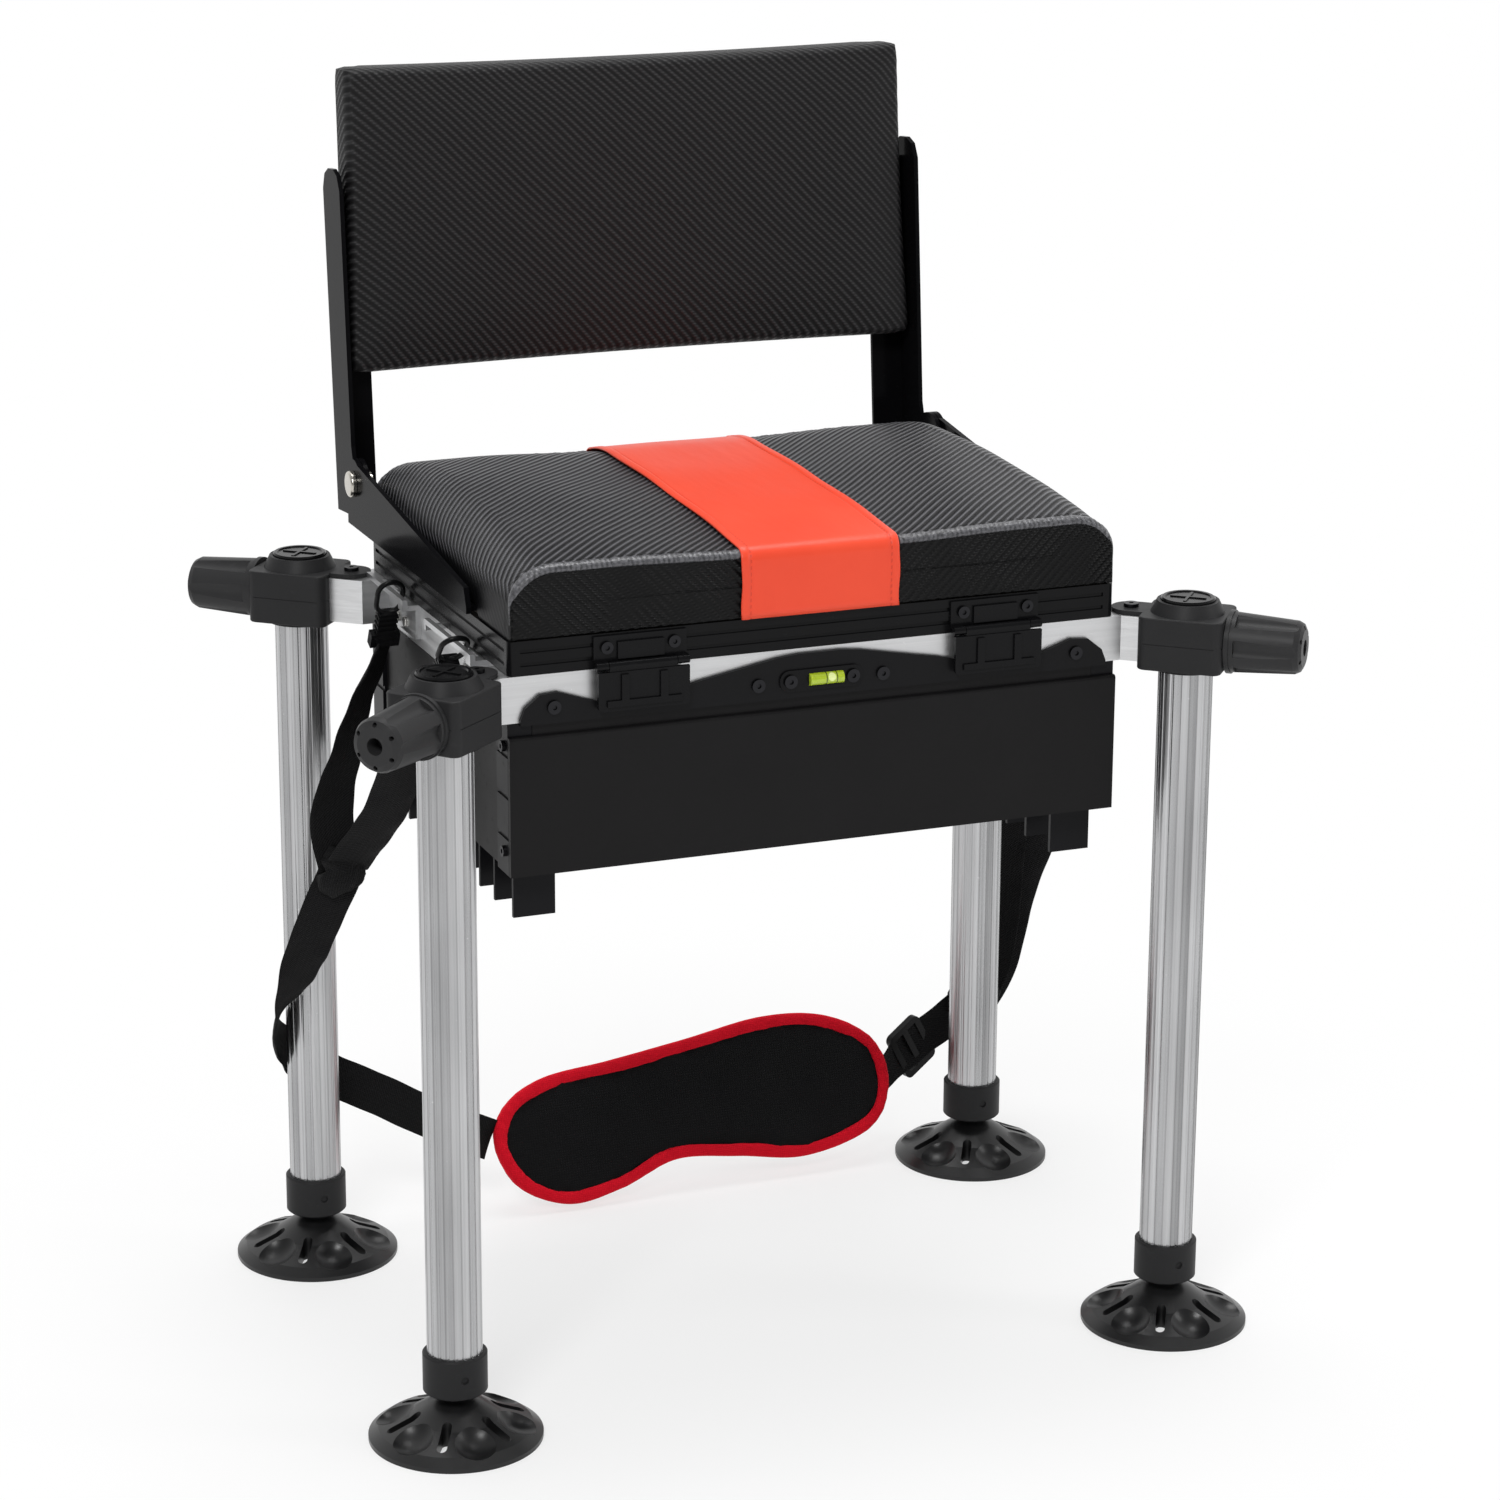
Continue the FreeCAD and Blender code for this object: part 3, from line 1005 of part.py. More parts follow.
def make_backrest():
    """Angle uprights, pivot bolts and the pad; made upright at the pivot, then leaned."""
    high = "upright_high"
    back = "upright_front + upright_deep"
    plate = padded("upright_plate", "YZ", [
        ("upright_front", "-upright_low"), (back, "-upright_low"), (back, f"{high} - 14"),
        (f"{back} - 5", f"{high} - 4"), (f"{back} - 14", high), ("upright_front + 14", high),
        ("upright_front + 5", f"{high} - 4"), ("upright_front", f"{high} - 14"),
        ("upright_front", "pivot_round + 6"), ("upright_front - 2", "pivot_round - 2"), ("0", "pivot_round"),
        ("0", "-pivot_round"), ("upright_front", "-pivot_round"),
    ], "upright_thick")
    place(plate, x="upright_x")
    eye = cylinder("upright_eye", "pivot_round", "upright_thick", "upright_x", axis="x")
    web = box("upright_web", ("upright_x - web_wide", "upright_x + 1"),
              ("web_front", "web_front + upright_thick"), ("-upright_low", f"{high} - 14"))
    solid = fuse("upright_solid", [plate, eye, web])
    hole = cylinder("upright_hole", "pivot_r", "3 * upright_thick", "upright_x - upright_thick", axis="x")
    right = cut("upright_right", solid, [hole])
    pair = group("upright_pair", [mirrored("upright_left", right), right])
    node("backrest_uprights", place(pair, "0", "pivot_y", "pivot_z", (-1, 0, 0), "lean"))

    shank = cylinder("bolt_shank", "pivot_r", "bracket_out + seat_gap - bolt_inner", "bolt_inner", axis="x")
    head = cylinder("bolt_head", "bolt_head_r", "bolt_head", "bracket_out + seat_gap", axis="x")
    head = rounded("bolt_head_round", head, "bolt_head / 2", lambda edge: edge.CenterOfMass.x > num("bracket_out + 3"))
    nut = cylinder("bolt_nut", "nut_r", "nut_high", "bolt_inner", axis="x")
    bolt = fuse("bolt_right", [shank, head, nut])
    bolts = group("bolt_pair", [mirrored("bolt_left", bolt), bolt])
    node("pivot_bolts", place(bolts, "0", "pivot_y", "pivot_z"))

    node("backrest_pad", place(backrest_pad(), "0", "pivot_y", "pivot_z", (-1, 0, 0), "lean"))


def pad_section(z, half, front, crown):
    """One level section of the backrest's pad: crowned front, rounded edges, flat back."""
    back = num("pad_front + pad_thick")
    turn = num("pad_round")
    step = 0.3 * turn

    def point(x, y):
        return Vector(x, y, z)

    left = Part.Arc(point(-half, front + turn), point(-half + step, front + step), point(-half + turn, front))
    face = Part.Arc(point(-half + turn, front), point(0, front - crown), point(half - turn, front))
    right = Part.Arc(point(half - turn, front), point(half - step, front + step), point(half, front + turn))
    lines = [Part.makeLine(point(half, front + turn), point(half, back)),
             Part.makeLine(point(half, back), point(-half, back)),
             Part.makeLine(point(-half, back), point(-half, front + turn))]
    return Part.Wire([left.toShape(), face.toShape(), right.toShape()] + lines)


def backrest_pad():
    """The pad: a loft of level sections, with rebates behind for the uprights' webs."""
    low, high = num("pad_low"), num("pad_high")
    front, crown = num("pad_front"), num("pad_crown")
    sections = []
    for share, inset, lift in ((0, 2.5, 0.2), (0.03, 0.5, 0.4), (0.25, 0, 0.9), (0.5, 0, 1), (0.75, 0, 0.9),
                               (0.97, 0.5, 0.4), (1, 2.5, 0.2)):
        half = num("pad_half_low") * (1 - share) + num("pad_half_top") * share - inset
        sections.append(pad_section(low + share * (high - low), half, front + crown + inset, crown * lift))
    whole = plain("pad_whole", Part.makeLoft(sections, True, False))
    back = "pad_front + pad_thick + 1"
    rebates = [box(side + "_pad_rebate", span(sx, "upright_x - web_wide - soft_gap", "upright_x + 1"),
                   ("web_front - soft_gap", back), ("pad_low - 1", "pad_high + 1")) for side, sx in SIDES]
    return cut("pad", whole, rebates)


def make_lugs():
    """Strap lugs on the side rails, with their rivets."""
    lugs = []
    rivets = []
    for side, sx in SIDES:
        for end, shift in (("rear", "0"), ("front", "lug_shift")):
            name = f"{side}_{end}_lug"
            y = f"lug_rear_y - ({shift})"
            bar_xs = span(sx, "lug_bar_x", "lug_bar_x + lug_thick")
            bar_y = f"{y} - 4"
            bar_end = f"{bar_y} + lug_bar_{end}"
            plate = box(name + "_plate", span(sx, "side_rail_x", "lug_plate_out"), (bar_y, f"{y} + lug_long"),
                        ("lug_z", "lug_z + lug_high"))
            jog = box(name + "_jog", span(sx, "lug_plate_out - 1", "lug_bar_x + lug_thick"), (bar_y, f"{bar_y} + 10"),
                      ("lug_z + lug_high - lug_thick", "lug_z + lug_high"))
            riser = box(name + "_riser", bar_xs, (bar_y, f"{bar_y} + 10"),
                        ("lug_z + lug_high - lug_thick", "rail_top + lug_thick"))
            bar = box(name + "_bar", bar_xs, (bar_y, bar_end), ("rail_top", "rail_top + lug_thick"))
            parts = [plate, jog, riser, bar]
            if end == "front":
                far = (f"{bar_end} - lug_thick", bar_end)
                parts.append(box(name + "_return", span(sx, "side_rail_x", "lug_bar_x + lug_thick"), far,
                                 ("lug_z + lug_high - lug_thick", "lug_z + lug_high")))
                parts.append(box(name + "_return_riser", bar_xs, far,
                                 ("lug_z + lug_high - lug_thick", "rail_top + lug_thick")))
            lugs.append(fuse(name, parts))
            for n in range(2):
                rivets.append(rounded(
                    f"{name}_rivet_round_{n}",
                    cylinder(f"{name}_rivet_{n}", "rivet_r", "rivet_high",
                             "lug_plate_out" if sx > 0 else "-lug_plate_out - rivet_high",
                             f"{y} + {18 + 16 * n}", "lug_z + 7", "x"),
                    "rivet_high / 2", lambda edge: abs(edge.CenterOfMass.x) > num("lug_plate_out + 1")))
    node("strap_lugs", lugs)
    node("lug_rivets", rivets)


def snap_hook(name):
    """A snap hook hanging from a bar at its origin: ring, ribbed body and strap eye."""
    half = "hook_straight / 2"
    parts = []
    for end, sign in (("top", 1), ("low", -1)):
        arc = doc.addObject("Part::Torus", f"{name}_{end}")
        bind(arc, Radius1="hook_ring_r", Radius2="hook_wire_r")
        arc.Angle3 = 180
        arc.Placement.Rotation = FreeCAD.Rotation(Vector(1, 0, 0), 90 * sign)
        place(arc, z=signed(sign, half))
        parts.append(arc)
    for way in (-1, 1):
        parts.append(cylinder(f"{name}_side_{way}", "hook_wire_r", "hook_straight", f"{way} * hook_ring_r", "0",
                              neg(half)))
    top = f"-({half}) - hook_ring_r + 1"
    low = f"{top} - hook_body"
    parts.append(box(name + "_body", ("-hook_wide / 2", "hook_wide / 2"), ("-hook_thick / 2", "hook_thick / 2"),
                     (low, top)))
    for n in range(4):
        z = f"{low} + hook_body * ({n} + 0.6) / 4.4"
        parts.append(box(f"{name}_rib_{n}", ("-hook_wide / 2 - 0.8", "hook_wide / 2 + 0.8"),
                         ("-hook_thick / 2 - 0.8", "hook_thick / 2 + 0.8"), (z, f"{z} + 1.6")))
    eye = box(name + "_eye_solid", ("-eye_wide / 2", "eye_wide / 2"), ("-hook_thick / 2", "hook_thick / 2"),
              (f"{low} - eye_high", f"{low} + 0.5"))
    slot = box(name + "_eye_slot", ("-eye_wide / 2 + eye_bar", "eye_wide / 2 - eye_bar"),
               ("-hook_thick", "hook_thick"), (f"{low} - eye_high + eye_bar", f"{low} - eye_bar + 1"))
    return cut(name, fuse(name + "_solid", parts + [eye]), [slot])


def hook_end(sx, y, lean):
    """Where the webbing leaves a snap hook's eye."""
    drop = num("hook_straight / 2 + hook_ring_r - 1 + hook_body + eye_high")
    angle = math.radians(num(lean))
    return (sx * num("hook_x"), num(y) + drop * math.sin(angle), num("rail_top + 0.4") - drop * math.cos(angle))


def make_hooks():
    """The four snap hooks on the lugs' bars."""
    hooks = []
    for side, sx in SIDES:
        for end, y, lean in (("rear", "rear_hook_y", "rear_hook_lean"), ("front", "-front_hook_y", "front_hook_lean")):
            hook = snap_hook(f"{side}_{end}_hook")
            hooks.append(place(hook, signed(sx, "hook_x"), y, "rail_top + 0.4", (1, 0, 0), lean))
    node("snap_hooks", hooks)


# The strap's routes, in millimetres, and the way its width points at each stop
LEFT_REAR_LOOP = [((-233, 88, 436), (0.8, 0.6, 0)), ((-250, 89, 384), (0.9, 0.3, 0)),
                  ((-260, 88, 345), (1, -0.2, 0)), ((-253, 86, 312), (1, -0.4, 0.1))]
LEFT_FRONT_LOOP = [((-226, -10, 436), (0.9, -0.5, 0.3)), ((-229, 20, 392), (0.9, -0.5, 0.3)),
                   ((-234, 46, 352), (1, -0.4, 0.2)), ((-249, 81, 312), (1, -0.4, 0.2))]
LEFT_STRAP = [((-252, 86, 307), (1, -0.4, 0.2)), ((-264, 93, 278), (1, -0.4, 0.2)),
              ((-272, 108, 246), (1, -0.3, 0.3)), ((-279, 124, 213), (0.9, 0.1, 0.5)),
              ((-284, 143, 184), (0.5, 0.2, 0.9)), ((-281, 166, 161), (0.1, 0.3, 1)),
              ((-266, 186, 143), (-0.1, 0.1, 1)), ((-243, 194, 124), (0, 0, 1)), ((-218, 195, 110), (0, 0, 1)),
              ((-190, 194, 94), (0, 0, 1)), ((-158, 193, 74), (0.1, 0, 1)), ((-116, 187, 54), (0.1, 0.3, 1))]
RIGHT_REAR_LOOP = [((239, 99, 428), (0, 1, 0.3)), ((276, 106, 388), (0.5, 0.6, 0.4)),
                   ((314, 130, 352), (0.6, -0.4, 0.6)), ((325, 176, 306), (0.2, -0.8, 0.6)),
                   ((312, 210, 256), (0.9, -0.3, 0)), ((306, 217, 228), (1, -0.3, 0)),
                   ((304, 217, 196), (1, -0.3, 0)), ((301, 215, 160), (0.8, -0.5, 0)),
                   ((294, 212, 129), (0.8, -0.4, 0)), ((281, 210, 107), (0.8, -0.4, -0.3))]
RIGHT_FRONT_LOOP = [((240, -1, 437), (0, 1, 0.5)), ((275, 45, 400), (0.5, 0.7, 0.3)),
                    ((318, 94, 362), (0.6, -0.4, 0.6)), ((345, 152, 314), (0.3, -0.8, 0.6)),
                    ((347, 204, 262), (0.9, -0.3, 0)), ((335, 226, 219), (1, -0.3, 0)),
                    ((322, 232, 177), (1, -0.3, 0)), ((314, 231, 145), (0.9, -0.4, 0)),
                    ((303, 223, 118), (0.8, -0.4, -0.2)), ((284, 212, 104), (0.8, -0.4, -0.3))]
RIGHT_STRAP = [((278, 211, 104), (0.8, -0.4, -0.3)), ((263, 216, 91), (0.5, 0, -0.9)),
               ((246, 219, 79), (0.4, 0, -1)), ((230, 217, 69), (0.4, 0, -1)), ((212, 210, 61), (0.3, 0, -1)),
               ((195, 199, 55), (0.2, 0.2, -1))]


def webbing(name, route):
    """A flat band along straight runs joined by tangent arcs, turning as the route says."""
    points = [Vector(*at) for at, width in route]
    widths = [Vector(*width).normalize() for at, width in route]
    half_w, half_t = num("web_width") / 2, num("web_thick") / 2
    runs = [(b - a).Length for a, b in zip(points, points[1:])]
    stations = [(points[0], points[1] - points[0], widths[0])]
    radii = []
    for n in range(1, len(points) - 1):
        arrive = (points[n] - points[n - 1]).normalize()
        leave = (points[n + 1] - points[n]).normalize()
        turn = arrive.getAngle(leave)
        reach = 0.45 * min(runs[n - 1], runs[n])
        radii.append(reach / math.tan(turn / 2))
        start, stop = points[n] - arrive * reach, points[n] + leave * reach
        middle = points[n] + (leave - arrive).normalize() * (radii[-1] / math.cos(turn / 2) - radii[-1])
        arc = Part.Arc(start, middle, stop)
        first, last = arc.FirstParameter, arc.LastParameter
        for share in (0, 0.5, 1):
            at = first + share * (last - first)
            beside = widths[n - 1] if share < 0.5 else widths[n + 1]
            width = widths[n] + (beside - widths[n]) * (abs(share - 0.5) * 0.9)
            stations.append((arc.value(at), Vector(*arc.tangent(at)[0]), width))
    stations.append((points[-1], points[-1] - points[-2], widths[-1]))
    sections = []
    for at, along, width in stations:
        along = along.normalize()
        across = (width - along * width.dot(along)).normalize()
        thick = along.cross(across)
        corners = [at + across * (a * half_w) + thick * (b * half_t) for a, b in ((-1, -1), (1, -1), (1, 1), (-1, 1))]
        sections.append(Part.makePolygon(corners + corners[:1]))
    shape = Part.makeLoft(sections, True, True)
    length = sum((b[0] - a[0]).Length for a, b in zip(stations, stations[1:]))
    share = shape.Volume / (length * half_w * half_t * 4)
    print(f"{name}: length {length:.0f}, volume over section times length {share:.3f}, radii",
          [round(r) for r in radii])
    return plain(name, shape)


def knot(name, at, lean):
    item = doc.addObject("Part::Ellipsoid", name)
    item.Radius1 = num("knot_wide")
    item.Radius2 = num("knot_long")
    item.Radius3 = num("knot_thick")
    item.Placement = FreeCAD.Placement(Vector(*at), FreeCAD.Rotation(Vector(0, 0, 1), lean)
                                       * FreeCAD.Rotation(Vector(0, 1, 0), 90))
    return item


# The shoulder pad's outline seen from the front, from its own middle
SHOULDER_OUTLINE = [(-155, -10), (-143, 16), (-112, 32), (-60, 38), (0, 46), (62, 55), (112, 50), (148, 28),
                    (157, -6), (138, -38), (84, -52), (30, -45), (-18, -41), (-62, -56), (-104, -62), (-141, -44)]


def shoulder_pad():
    """The strap's pad: a waisted plate that stands on its lower edge and leans back."""
    curve = Part.BSplineCurve()
    curve.interpolate([Vector(x, 0, z) for x, z in SHOULDER_OUTLINE], PeriodicFlag=True)
    face = Part.Face(Part.Wire([curve.toShape()]))
    item = plain("shoulder", face.extrude(Vector(0, num("shoulder_thick"), 0)))
    lean = math.radians(num("shoulder_lean"))
    lowest = -min(z for x, z in SHOULDER_OUTLINE) * math.cos(lean) + num("shoulder_thick") * math.sin(lean) + 2
    place(item, "41", f"shoulder_y + {-min(z for x, z in SHOULDER_OUTLINE) * math.sin(lean)}", str(lowest),
          (-1, 0, 0), "shoulder_lean")
    return item


def slider():
    """The slider buckle: a frame with a middle bar, lying along the strap."""
    long, wide = "slider_long / 2", "slider_wide / 2"
    solid = box("slider_solid", (neg(long), long), ("-slider_thick / 2", "slider_thick / 2"), (neg(wide), wide))
    solid = rounded("slider_round", solid, "slider_bar", lambda edge: len(edge.Vertexes) == 2
                    and abs(edge.tangentAt(edge.FirstParameter).y) > 0.99)
    gaps = [box(f"slider_gap_{n}", span(sign, "slider_bar / 2", f"{long} - slider_bar"),
                ("-slider_thick", "slider_thick"), (f"-({wide}) + slider_bar", f"{wide} - slider_bar"))
            for n, sign in enumerate((-1, 1))]
    return cut("slider", solid, gaps)


def make_strap():
    """The carrying strap: loops from the hooks, two knots, webbing, pad and slider."""
    rear, front = ("rear_hook_y", "rear_hook_lean"), ("-front_hook_y", "front_hook_lean")
    loops = []
    knots = []
    for side, sx, rear_route, front_route, strap in (
        ("left", -1, LEFT_REAR_LOOP, LEFT_FRONT_LOOP, LEFT_STRAP),
        ("right", 1, RIGHT_REAR_LOOP, RIGHT_FRONT_LOOP, RIGHT_STRAP),
    ):
        rear_band = webbing(side + "_rear_loop", [(hook_end(sx, *rear), (0.6, 0.8, 0))] + rear_route)
        front_band = webbing(side + "_front_loop", [(hook_end(sx, *front), (0.6, 0.8 * sx, 0))] + front_route)
        tie = knot(side + "_knot", strap[0][0], -22)
        knots.append(tie)
        loops.append(fuse(side + "_loops", [rear_band, front_band, tie]))
    node("strap_loops", loops)
    node("strap_left", cut("left_strap", webbing("left_band", LEFT_STRAP), [loops[0]]))
    node("strap_right", cut("right_strap", webbing("right_band", RIGHT_STRAP), [loops[1]]))
    node("shoulder_pad", shoulder_pad())
    middle = slider()
    middle.Placement = FreeCAD.Placement(Vector(230, 217, 69), FreeCAD.Rotation(Vector(0, 0, 1), 17)
                                         * FreeCAD.Rotation(Vector(0, 1, 0), -30))
    node("slider_buckle", middle)


make_rails()
make_arms()
block_screws = make_blocks()
make_knobs()
make_legs()
make_mud_feet()
post_screws = make_case()
node("frame_screws", block_screws + post_screws)
make_fascia()
make_latches()
make_lid(make_hinges())
make_cushion()
make_brackets()
make_backrest()
make_lugs()
make_hooks()
make_strap()

doc.recompute()
for item in doc.Objects:
    if "Invalid" in item.State or "Error" in item.State:
        raise RuntimeError(f"{item.Label}: {item.State}")
os.makedirs("parts", exist_ok=True)
for item in NODES:
    if item.Shape.isNull() or not item.Shape.isValid():
        raise RuntimeError(f"{item.Label}: its shape is empty or not valid")
    if not item.Shape.Solids:
        raise RuntimeError(f"{item.Label}: no solid")
    item.Shape.translated(Vector(0, -num("origin_y"), 0)).exportStep(f"parts/{item.Label}.step")
    print(item.Label, len(item.Shape.Solids), "solids", round(item.Shape.Volume / 1000, 1), "cm3")
print(len(NODES), "sub-parts")
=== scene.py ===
import math
import bmesh
import bpy
from mathutils import Matrix, Vector, noise


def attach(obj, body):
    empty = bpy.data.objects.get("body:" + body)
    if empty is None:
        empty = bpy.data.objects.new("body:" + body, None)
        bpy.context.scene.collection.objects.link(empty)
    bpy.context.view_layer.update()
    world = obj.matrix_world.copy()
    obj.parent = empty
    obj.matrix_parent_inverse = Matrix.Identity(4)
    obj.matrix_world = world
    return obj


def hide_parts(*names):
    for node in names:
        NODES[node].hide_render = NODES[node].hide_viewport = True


# A fishing seat box: its materials, its soft parts and strap, and the stage. In metres.

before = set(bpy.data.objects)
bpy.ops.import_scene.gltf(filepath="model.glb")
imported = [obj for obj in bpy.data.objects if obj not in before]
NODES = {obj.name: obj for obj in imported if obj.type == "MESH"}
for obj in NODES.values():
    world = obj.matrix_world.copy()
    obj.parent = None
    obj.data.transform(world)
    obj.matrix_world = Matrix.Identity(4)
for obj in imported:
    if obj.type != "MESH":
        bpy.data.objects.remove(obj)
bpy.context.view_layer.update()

# The pieces are drawn about the middle of the legs, which lies this far before the origin
SHIFT = Vector((0, -0.013, 0))

# --- camera

CAMERA_YAW, CAMERA_PITCH, CAMERA_ROLL = 0.3796, 0.2935, 0.0052
CAMERA_PLACE = (-1.0202, -2.5841, 1.2297)
CAMERA_LENS, CAMERA_SENSOR = 103.29, 36
CAMERA_REACH = 150


def make_camera():
    """The camera at the photograph's place and angle."""
    ahead = Vector((math.sin(CAMERA_YAW) * math.cos(CAMERA_PITCH),
                    math.cos(CAMERA_YAW) * math.cos(CAMERA_PITCH), -math.sin(CAMERA_PITCH)))
    right = Vector((math.cos(CAMERA_YAW), -math.sin(CAMERA_YAW), 0))
    up = right.cross(ahead)
    side = right * math.cos(CAMERA_ROLL) + up * math.sin(CAMERA_ROLL)
    top = up * math.cos(CAMERA_ROLL) - right * math.sin(CAMERA_ROLL)
    data = bpy.data.cameras.new("camera")
    data.lens = CAMERA_LENS
    data.sensor_width = CAMERA_SENSOR
    data.clip_end = CAMERA_REACH
    cam = bpy.data.objects.new("camera", data)
    rows = [(side[k], top[k], -ahead[k], CAMERA_PLACE[k]) for k in range(3)]
    cam.matrix_world = Matrix((*rows, (0, 0, 0, 1)))
    cam.location += SHIFT
    bpy.context.scene.collection.objects.link(cam)
    bpy.context.scene.camera = cam


make_camera()

# --- materials


class Paint:
    """A node material, built with short calls. A value may be another node's socket."""

    def __init__(self, name):
        self.mat = bpy.data.materials.new(name)
        self.mat.use_nodes = True
        self.tree = self.mat.node_tree
        self.bsdf = self.tree.nodes["Principled BSDF"]
        self.at = self.node("ShaderNodeTexCoord").outputs["Object"]

    def node(self, kind, **values):
        made = self.tree.nodes.new(kind)
        for key, value in values.items():
            self.put(made.inputs[key.replace("_", " ")], value)
        return made

    def put(self, socket, value):
        if isinstance(value, bpy.types.NodeSocket):
            self.tree.links.new(value, socket)
        else:
            socket.default_value = value

    def put_color(self, socket, value):
        self.put(socket, value if isinstance(value, bpy.types.NodeSocket) else (*value, 1))

    def math(self, kind, a, b=0.0):
        made = self.tree.nodes.new("ShaderNodeMath")
        made.operation = kind
        self.put(made.inputs[0], a)
        self.put(made.inputs[1], b)
        return made.outputs[0]

    def add(self, a, b):
        return self.math("ADD", a, b)

    def sub(self, a, b):
        return self.math("SUBTRACT", a, b)

    def mul(self, a, b):
        return self.math("MULTIPLY", a, b)

    def abs(self, a):
        return self.math("ABSOLUTE", a)

    def swing(self, value, size):
        """A value that runs from 0 to 1, moved to run size wide about 0."""
        return self.mul(self.sub(value, 0.5), size)

    def split(self, vector=None):
        return self.node("ShaderNodeSeparateXYZ", Vector=vector or self.at).outputs

    def scaled(self, x, y, z):
        """The object's coordinates, stretched along each axis."""
        made = self.tree.nodes.new("ShaderNodeVectorMath")
        made.operation = "MULTIPLY"
        self.put(made.inputs[0], self.at)
        self.put(made.inputs[1], (x, y, z))
        return made.outputs[0]

    def noise(self, scale, detail=3.0, rough=0.5, vector=None):
        return self.node("ShaderNodeTexNoise", Vector=vector or self.at, Scale=scale, Detail=detail,
                         Roughness=rough).outputs[0]

    def ramp(self, value, low, high, out_low=0.0, out_high=1.0):
        """A smooth step from out_low at low to out_high at high."""
        made = self.tree.nodes.new("ShaderNodeMapRange")
        made.interpolation_type = "SMOOTHSTEP"
        for socket, item in zip(made.inputs, (value, low, high, out_low, out_high)):
            self.put(socket, item)
        return made.outputs[0]

    def mix(self, share, a, b):
        """A colour between a, where share is 0, and b, where it is 1."""
        made = self.tree.nodes.new("ShaderNodeMix")
        made.data_type = "RGBA"
        self.put(made.inputs[0], share)
        self.put_color(made.inputs[6], a)
        self.put_color(made.inputs[7], b)
        return made.outputs[2]

    def bump(self, height, distance, strength, normal=None):
        made = self.node("ShaderNodeBump", Height=height, Distance=distance, Strength=strength)
        if normal is not None:
            self.put(made.inputs["Normal"], normal)
        return made.outputs[0]

    def set(self, color, rough, normal=None, **others):
        """Sets the shader's own sockets and gives the material."""
        self.put_color(self.bsdf.inputs["Base Color"], color)
        self.put(self.bsdf.inputs["Roughness"], rough)
        if normal is not None:
            self.put(self.bsdf.inputs["Normal"], normal)
        for key, value in others.items():
            self.put(self.bsdf.inputs[key.replace("_", " ")], value)
        return self.mat


def aluminium(name, along, tone, rough, streak):
    """Drawn aluminium: fine lines along its length, cloudy patches and small nicks."""
    p = Paint(name)
    lines = p.noise(1.0, 4.0, 0.6, p.scaled(*along))
    cloud = p.noise(14.0, 3.0)
    nicks = p.ramp(p.noise(420.0, 2.0, 0.6), 0.70, 0.78)
    value = p.add(p.add(p.swing(lines, streak * 2), p.swing(cloud, 0.10)), tone)
    color = p.mix(value, (0.0, 0.0, 0.0), (0.985, 0.99, 1.0))
    color = p.mix(p.mul(nicks, 0.5), color, (0.95, 0.95, 0.94))
    roughness = p.add(rough - 0.10, p.mul(lines, 0.22))
    normal = p.bump(lines, 0.00025, 0.5, p.bump(nicks, 0.0001, 0.3))
    return p.set(color, roughness, normal, Metallic=0.92)


LEG_X, LEG_Y = 0.25508, 0.15989
LEG_RIBS = 20


def leg_aluminium():
    """Ribbed drawn tube: ribs of differing tones, painted shade in the hollows, and fine lines."""
    p = Paint("leg_aluminium")
    x, y, _ = p.split()
    east = p.sub(p.abs(x), LEG_X)
    north = p.sub(p.abs(p.sub(y, SHIFT.y)), LEG_Y)
    turn = p.mul(p.math("ARCTAN2", north, east), LEG_RIBS / (2 * math.pi))
    pick = p.node("ShaderNodeCombineXYZ", X=p.math("FLOOR", turn), Y=p.math("SIGN", x),
                  Z=p.math("SIGN", y)).outputs[0]
    own = p.node("ShaderNodeTexWhiteNoise", Vector=pick).outputs[0]
    edge = p.mul(p.abs(p.sub(p.math("FRACT", turn), 0.5)), 2.0)
    hollow_and_shade = p.ramp(edge, 0.70, 0.96)
    lines = p.noise(1.0, 4.0, 0.6, p.scaled(700, 700, 3.0))
    cloud = p.noise(1.0, 3.0, 0.5, p.scaled(30, 30, 9))
    value = p.add(0.47, p.swing(own, 0.32))
    value = p.add(value, p.swing(lines, 0.26))
    value = p.add(value, p.swing(cloud, 0.20))
    # Painted shade: the colour is darkened in the hollows between the ribs
    value = p.mul(value, p.sub(1.0, p.mul(hollow_and_shade, 0.24)))
    nicks = p.ramp(p.noise(260.0, 2.0, 0.6), 0.74, 0.80)
    color = p.mix(value, (0, 0, 0), (0.98, 0.985, 1.0))
    color = p.mix(p.mul(nicks, 0.4), color, (0.9, 0.9, 0.9))
    roughness = p.add(0.20, p.mul(own, 0.14))
    normal = p.bump(lines, 0.0002, 0.4, p.bump(hollow_and_shade, -0.0004, 0.8))
    return p.set(color, roughness, normal, Metallic=0.95)


def plastic(name, color, rough, grain, relief, wear):
    """Moulded plastic: fine grain, faint flow marks and handling marks."""
    p = Paint(name)
    fine = p.noise(grain, 2.0)
    flow = p.noise(22.0, 3.0)
    scuff = p.ramp(p.noise(1.0, 3.0, 0.6, p.scaled(60, 160, 160)), 0.60, 0.75)
    dark = tuple(c * 0.72 for c in color)
    light = tuple(min(1, c * 1.5 + 0.004) for c in color)
    tint = p.mix(p.mul(scuff, wear), p.mix(flow, dark, color), light)
    roughness = p.add(p.mul(flow, 0.16), p.add(rough - 0.08, p.mul(scuff, 0.08)))
    return p.set(tint, roughness, p.bump(fine, relief, 0.6), Specular_IOR_Level=0.12)


